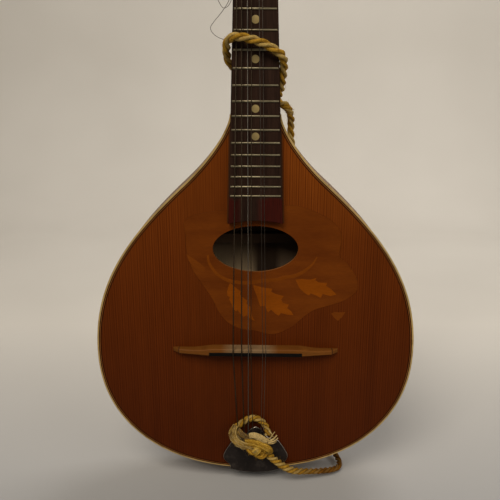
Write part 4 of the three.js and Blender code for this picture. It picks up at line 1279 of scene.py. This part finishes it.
# Turns of rope over the knots: (route, radius, pitch, look)
TAIL_KNOT_TURNS = [
    ([(-7.4, -33, 31), (-2, -35, 33), (3.5, -35.8, 32.4), (8.4, -36, 30), (11.2, -35, 26.6),
      (10.4, -32.6, 22)], 2.6, 40, 1),
    ([(-6.6, -32.8, 30), (-5.6, -35.4, 27.6), (-3.6, -35.8, 24.8), (-1, -33, 22.8)], 2.4, 30, 0),
    ([(-1, -33, 22.8), (2.4, -35, 20.6), (6.2, -35, 20.4), (9.8, -33, 22.4)], 2.3, 30, 0),
]
NECK_KNOT_TURNS = [
    ([(28.6, 14.6, 311.4), (26.8, 11.2, 315.4), (24, 9.2, 318), (20, 8.4, 319.6), (15, 8, 320.6)],
     3.4, 20.5, None),
]
# Hanks of loose fibre: (route, number, half width, half depth, fibre radius, spread at the end, overrun)
TAIL_KNOT_WRAPS = [
    (([(-9, -34.6, 33.4), (-3, -36.2, 34), (3, -37.4, 33.2), (8.4, -37.8, 30.6), (11.8, -36.6, 27),
       (11.6, -34, 22.6)], 110, 3.0, 1.3, 0.22, 0.0, 1.2), (0, 0, 2)),
    (([(-2.6, -33.6, 23.6), (-1.2, -37, 25), (0.4, -38.6, 27.4), (1.8, -38.2, 29.6), (2.8, -35.6, 31.4)],
      80, 2.5, 1.5, 0.3, 0.0, 0.5), (2, 2, 1)),
]
BAND = ([(-17.4, -28.6, 47), (-20, -30.6, 41.6), (-19, -32.2, 36.8), (-14.6, -34.2, 32.8),
         (-8.6, -35, 30.8), (-3, -35.6, 29.8), (2.4, -36, 30)], 90, 2.3, 1.2, 0.15, 0.1, 3.4)
WISPS = (BAND[0], 45, 2.9, 1.4, 0.1, 0.3, 4)
RIM_STRAND = ([(-15.6, -29.4, 47), (-17.4, -31.4, 42), (-16.4, -33.2, 38), (-12.6, -35, 35),
               (-6.6, -36.4, 33.4)], 10, 0.45, 0.4, 0.2, 0, 1.5)
UNDER_BAND = ([(-16, -28.8, 42.4), (-12, -29.8, 38.4), (-7, -31, 36), (-2, -33, 34.6), (2, -34, 33.6)],
              60, 2.6, 0.8, 0.16, 0.1, 3.0)
TUFT = ([(-5.4, -34.6, 40.4), (-1, -35.6, 41), (4, -36.2, 39.6), (8.4, -36.3, 37),
         (10.8, -36, 35.8)], 100, 2.2, 1.5, 0.2, 0.0, 0.6)
FINGERS = [
    [(10, -36.2, 36.8), (13.2, -36.6, 40), (14.8, -36.8, 42.6), (16.6, -36.6, 44.8)],
    [(10.8, -36.4, 36), (14.4, -36.8, 38), (16.6, -37, 40), (18.2, -36.8, 42)],
    [(11, -36.4, 35), (15, -36.8, 36), (17.6, -37, 37.6), (19.2, -36.8, 39.4)],
    [(10.6, -36.2, 34), (14, -36.4, 33.8), (16.2, -36.4, 34.4), (18, -36.2, 35.8)],
    [(11.4, -34.6, 45), (12.8, -35.2, 44), (14.2, -35.6, 42.2), (15, -35.8, 40.4)],
]


def knot_path(centre, size, tilt):
    """A drawn-up overhand knot, as a closed trefoil turned by `tilt` degrees."""
    about_x, about_y = (math.radians(angle) for angle in tilt)
    turn = Matrix.Rotation(about_x, 3, "X") @ Matrix.Rotation(about_y, 3, "Y")
    count = 90
    out = []
    for k in range(count + 1):
        t = 2 * math.pi * k / count
        x, z = math.sin(t) + 2 * math.sin(2 * t), math.cos(t) - 2 * math.cos(2 * t)
        out.append(centre + turn @ (Vector((x, -1.2 * math.sin(3 * t), z)) * size / 3))
    return out


def end_taper(share):
    return 0.72 + 0.28 * math.sin(math.pi * share) ** 0.5


def run_taper(share):
    """The rope lies thinner under the body than at the knots."""
    return 1 - 0.2 * smooth_step(share, 0.05, 0.12) + 0.14 * smooth_step(share, 0.3, 0.9)


def build_knot(name, centre, size, thick, tilt, replaces, turns, wraps=()):
    """The knot's core, the hanks of loose fibre round it and the turns of rope over it."""
    knot = Solid()
    path = knot_path(centre, size, tilt)
    add_rope(knot, path, thick, (17, 17), look=0)
    add_hairs(knot, path, 90, 2.6, 5, thick, 1)
    for i, (hank, looks) in enumerate(wraps):
        add_fibres(knot, hank, 40 + i, looks)
    for points, radius, pitch, look in turns:
        over = smooth_route(points, 0.7)
        add_rope(knot, over, radius, (pitch, pitch), 0.6, end_taper, look)
        add_hairs(knot, over, 60, 2.6, 6, radius, look or 0)
    return build(name, knot, ROPE_LOOKS, replaces=replaces, sharp=70)


def build_rope_run(name, route, radius, pitches, hairs, seed, replaces, start_turn, taper=None):
    path = smooth_route(route, 0.9)
    rope, fuzz = Solid(), Solid()
    add_rope(rope, path, radius, pitches, start_turn, taper)
    piece = build(name, rope, ROPE_LOOKS, replaces=replaces, sharp=70)
    add_hairs(fuzz, path, hairs, 3.2, seed, radius, 0, 0.05)
    loose = build(f"{name}_hairs", fuzz, "band")
    return piece, loose, path


def build_fray():
    """Where the rope has come unlaid: a band over the tail loop and the tuft it ends in."""
    band, tuft = Solid(), Solid()
    add_fibres(band, BAND, 21, (0, 0, 1, 2, 3))
    add_fibres(band, WISPS, 25, (0, 3, 4))
    add_fibres(band, RIM_STRAND, 26, (3, 4))
    add_fibres(band, UNDER_BAND, 23, (1, 1, 0))
    add_hairs(band, smooth_route(BAND[0], 1.0), 50, 4, 24, 2.4, 0, 0.08)
    looks = ["band", "fuzz", "rope_gold", "rope_pale", "fray"]
    band_piece = build("rope_loose_band", band, looks, sharp=80)
    add_fibres(tuft, TUFT, 22)
    for i, route in enumerate(FINGERS):
        add_fibres(tuft, (route, 7, 0.4, 0.4, 0.3, 0, 0.6), 30 + i)
    tuft_piece = build("rope_frayed_end", tuft, "fray", replaces="strap_frayed_end", sharp=80)
    return band_piece, tuft_piece


def build_strap():
    tail_knot = build_knot("rope_tail_knot", TAIL_KNOT, 4.6, 2.4, (70, 20), "strap_tail_knot",
                           TAIL_KNOT_TURNS, TAIL_KNOT_WRAPS)
    neck_knot = build_knot("rope_neck_knot", NECK_KNOT, 4.0, 2.3, (20, 40), "strap_neck_knot",
                           NECK_KNOT_TURNS)
    run, run_hairs, run_path = build_rope_run(
        "rope_run", ROPE_ROUTE, ROPE_RADIUS, (14, ROPE_PITCH), 500, 11, "strap_rope", 0.0, run_taper
    )
    neck, neck_hairs, neck_path = build_rope_run(
        "rope_neck_loop", NECK_LOOP_ROUTE, ROPE_RADIUS, (ROPE_PITCH, ROPE_PITCH), 240, 12,
        "strap_neck_loop", 1.0
    )
    tail, tail_hairs, tail_path = build_rope_run(
        "rope_tail_loop", TAIL_LOOP_ROUTE, 2.8, (15.5, 15.5), 120, 13, "strap_tail_loop", 2.2
    )
    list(build_fray())


def build_wire():
    """The loose end of a string that curls down beside the neck."""
    path = smooth_route(WIRE_ROUTE, 1.2)
    wire = add_tube(Solid(), path, 0.2, 8)
    piece = build("loose_wire", wire, "wire", replaces="broken_string")


# ---- Studio ----
def floor_profile():
    """(y, z) from under the front edge, rounded, flat below the mandolin, then swept up behind it."""
    floor_z = cad_box[0].z / MM - 1.0
    front_y, back_y, radius, lip = -260, 900, 450, 30
    profile = [(front_y - lip, floor_z - 1500), (front_y - lip, floor_z - lip)]
    for k in range(1, 7):
        turn = math.pi / 2 * k / 6
        profile.append((front_y - lip * math.cos(turn), floor_z - lip + lip * math.sin(turn)))
    for k in range(17):
        turn = math.pi / 2 * k / 16
        profile.append((back_y + radius * math.sin(turn), floor_z + radius * (1 - math.cos(turn))))
    return [*profile, (back_y + radius, floor_z + 2600)]


def build_studio():
    scene = bpy.context.scene
    scene.view_settings.view_transform = "Standard"
    world = bpy.data.worlds.new("studio")
    scene.world = world
    world.use_nodes = True
    background = world.node_tree.nodes["Background"].inputs
    background["Color"].default_value = (0.50, 0.47, 0.42, 1)
    background["Strength"].default_value = 0.2

    sweep = Solid()
    left, right = (sweep.loop([(x, y, z) for y, z in floor_profile()]) for x in (-3000, 3000))
    for i in range(len(left) - 1):
        sweep.face((left[i], right[i], right[i + 1], left[i + 1]))
    mesh = bpy.data.meshes.new("floor")
    mesh.from_pydata([Vector(p) * MM for p in sweep.points], [], sweep.faces)
    mesh.polygons.foreach_set("use_smooth", [True] * len(mesh.polygons))
    cloth = new_material("pale_floor", 0.9, 0.05)
    # Painted shade: the floor is darker and greyer in front of and under the mandolin, and pales towards
    # the sweep behind.
    back = rise(cloth, axis(cloth, "Y"), -0.08, 0.35)
    soft = noise(cloth, place(cloth), 3, 2)
    pale = ramp(cloth, soft, (0.3, (0.69, 0.665, 0.625)), (0.7, (0.74, 0.715, 0.675)))
    finish_material(cloth, mix(cloth, back, (0.39, 0.392, 0.40), pale))
    mesh.materials.append(cloth)
    floor = bpy.data.objects.new("floor", mesh)
    scene.collection.objects.link(floor)

    lamps = [
        ("key", (-0.5, -1.4, 1.8), (0, 0, 0.2), 1.1, 30, (1, 0.91, 0.78)),
        ("fill", (1.5, -1.2, 1.0), (0, 0, 0.25), 1.4, 10, (1, 0.93, 0.83)),
        ("rear", (0.5, 0.7, 1.5), (0, 0.5, 0.2), 0.9, 9, (1, 0.95, 0.88)),
    ]
    for name, where, target, size, power, tint in lamps:
        data = bpy.data.lights.new(name, "AREA")
        data.size = size
        data.energy = power
        data.color = tint
        lamp = bpy.data.objects.new(name, data)
        lamp.location = where
        lamp.rotation_euler = (Vector(target) - Vector(where)).to_track_quat("-Z", "Y").to_euler()
        scene.collection.objects.link(lamp)


build_strap()
build_wire()
build_top()
build_marquetry()
build_edges()
build_sides()
build_back()
build_inside()
build_neck()
build_board()
build_nut()
build_headstock()
for number in range(8):
    build_post(number)
    build_button(number)
build_plates()
build_bridge()
build_tailpiece()
for number, string in enumerate(zip(STRING_RADIUS, STRING_LOOK)):
    build_string(number, *string)
build_studio()
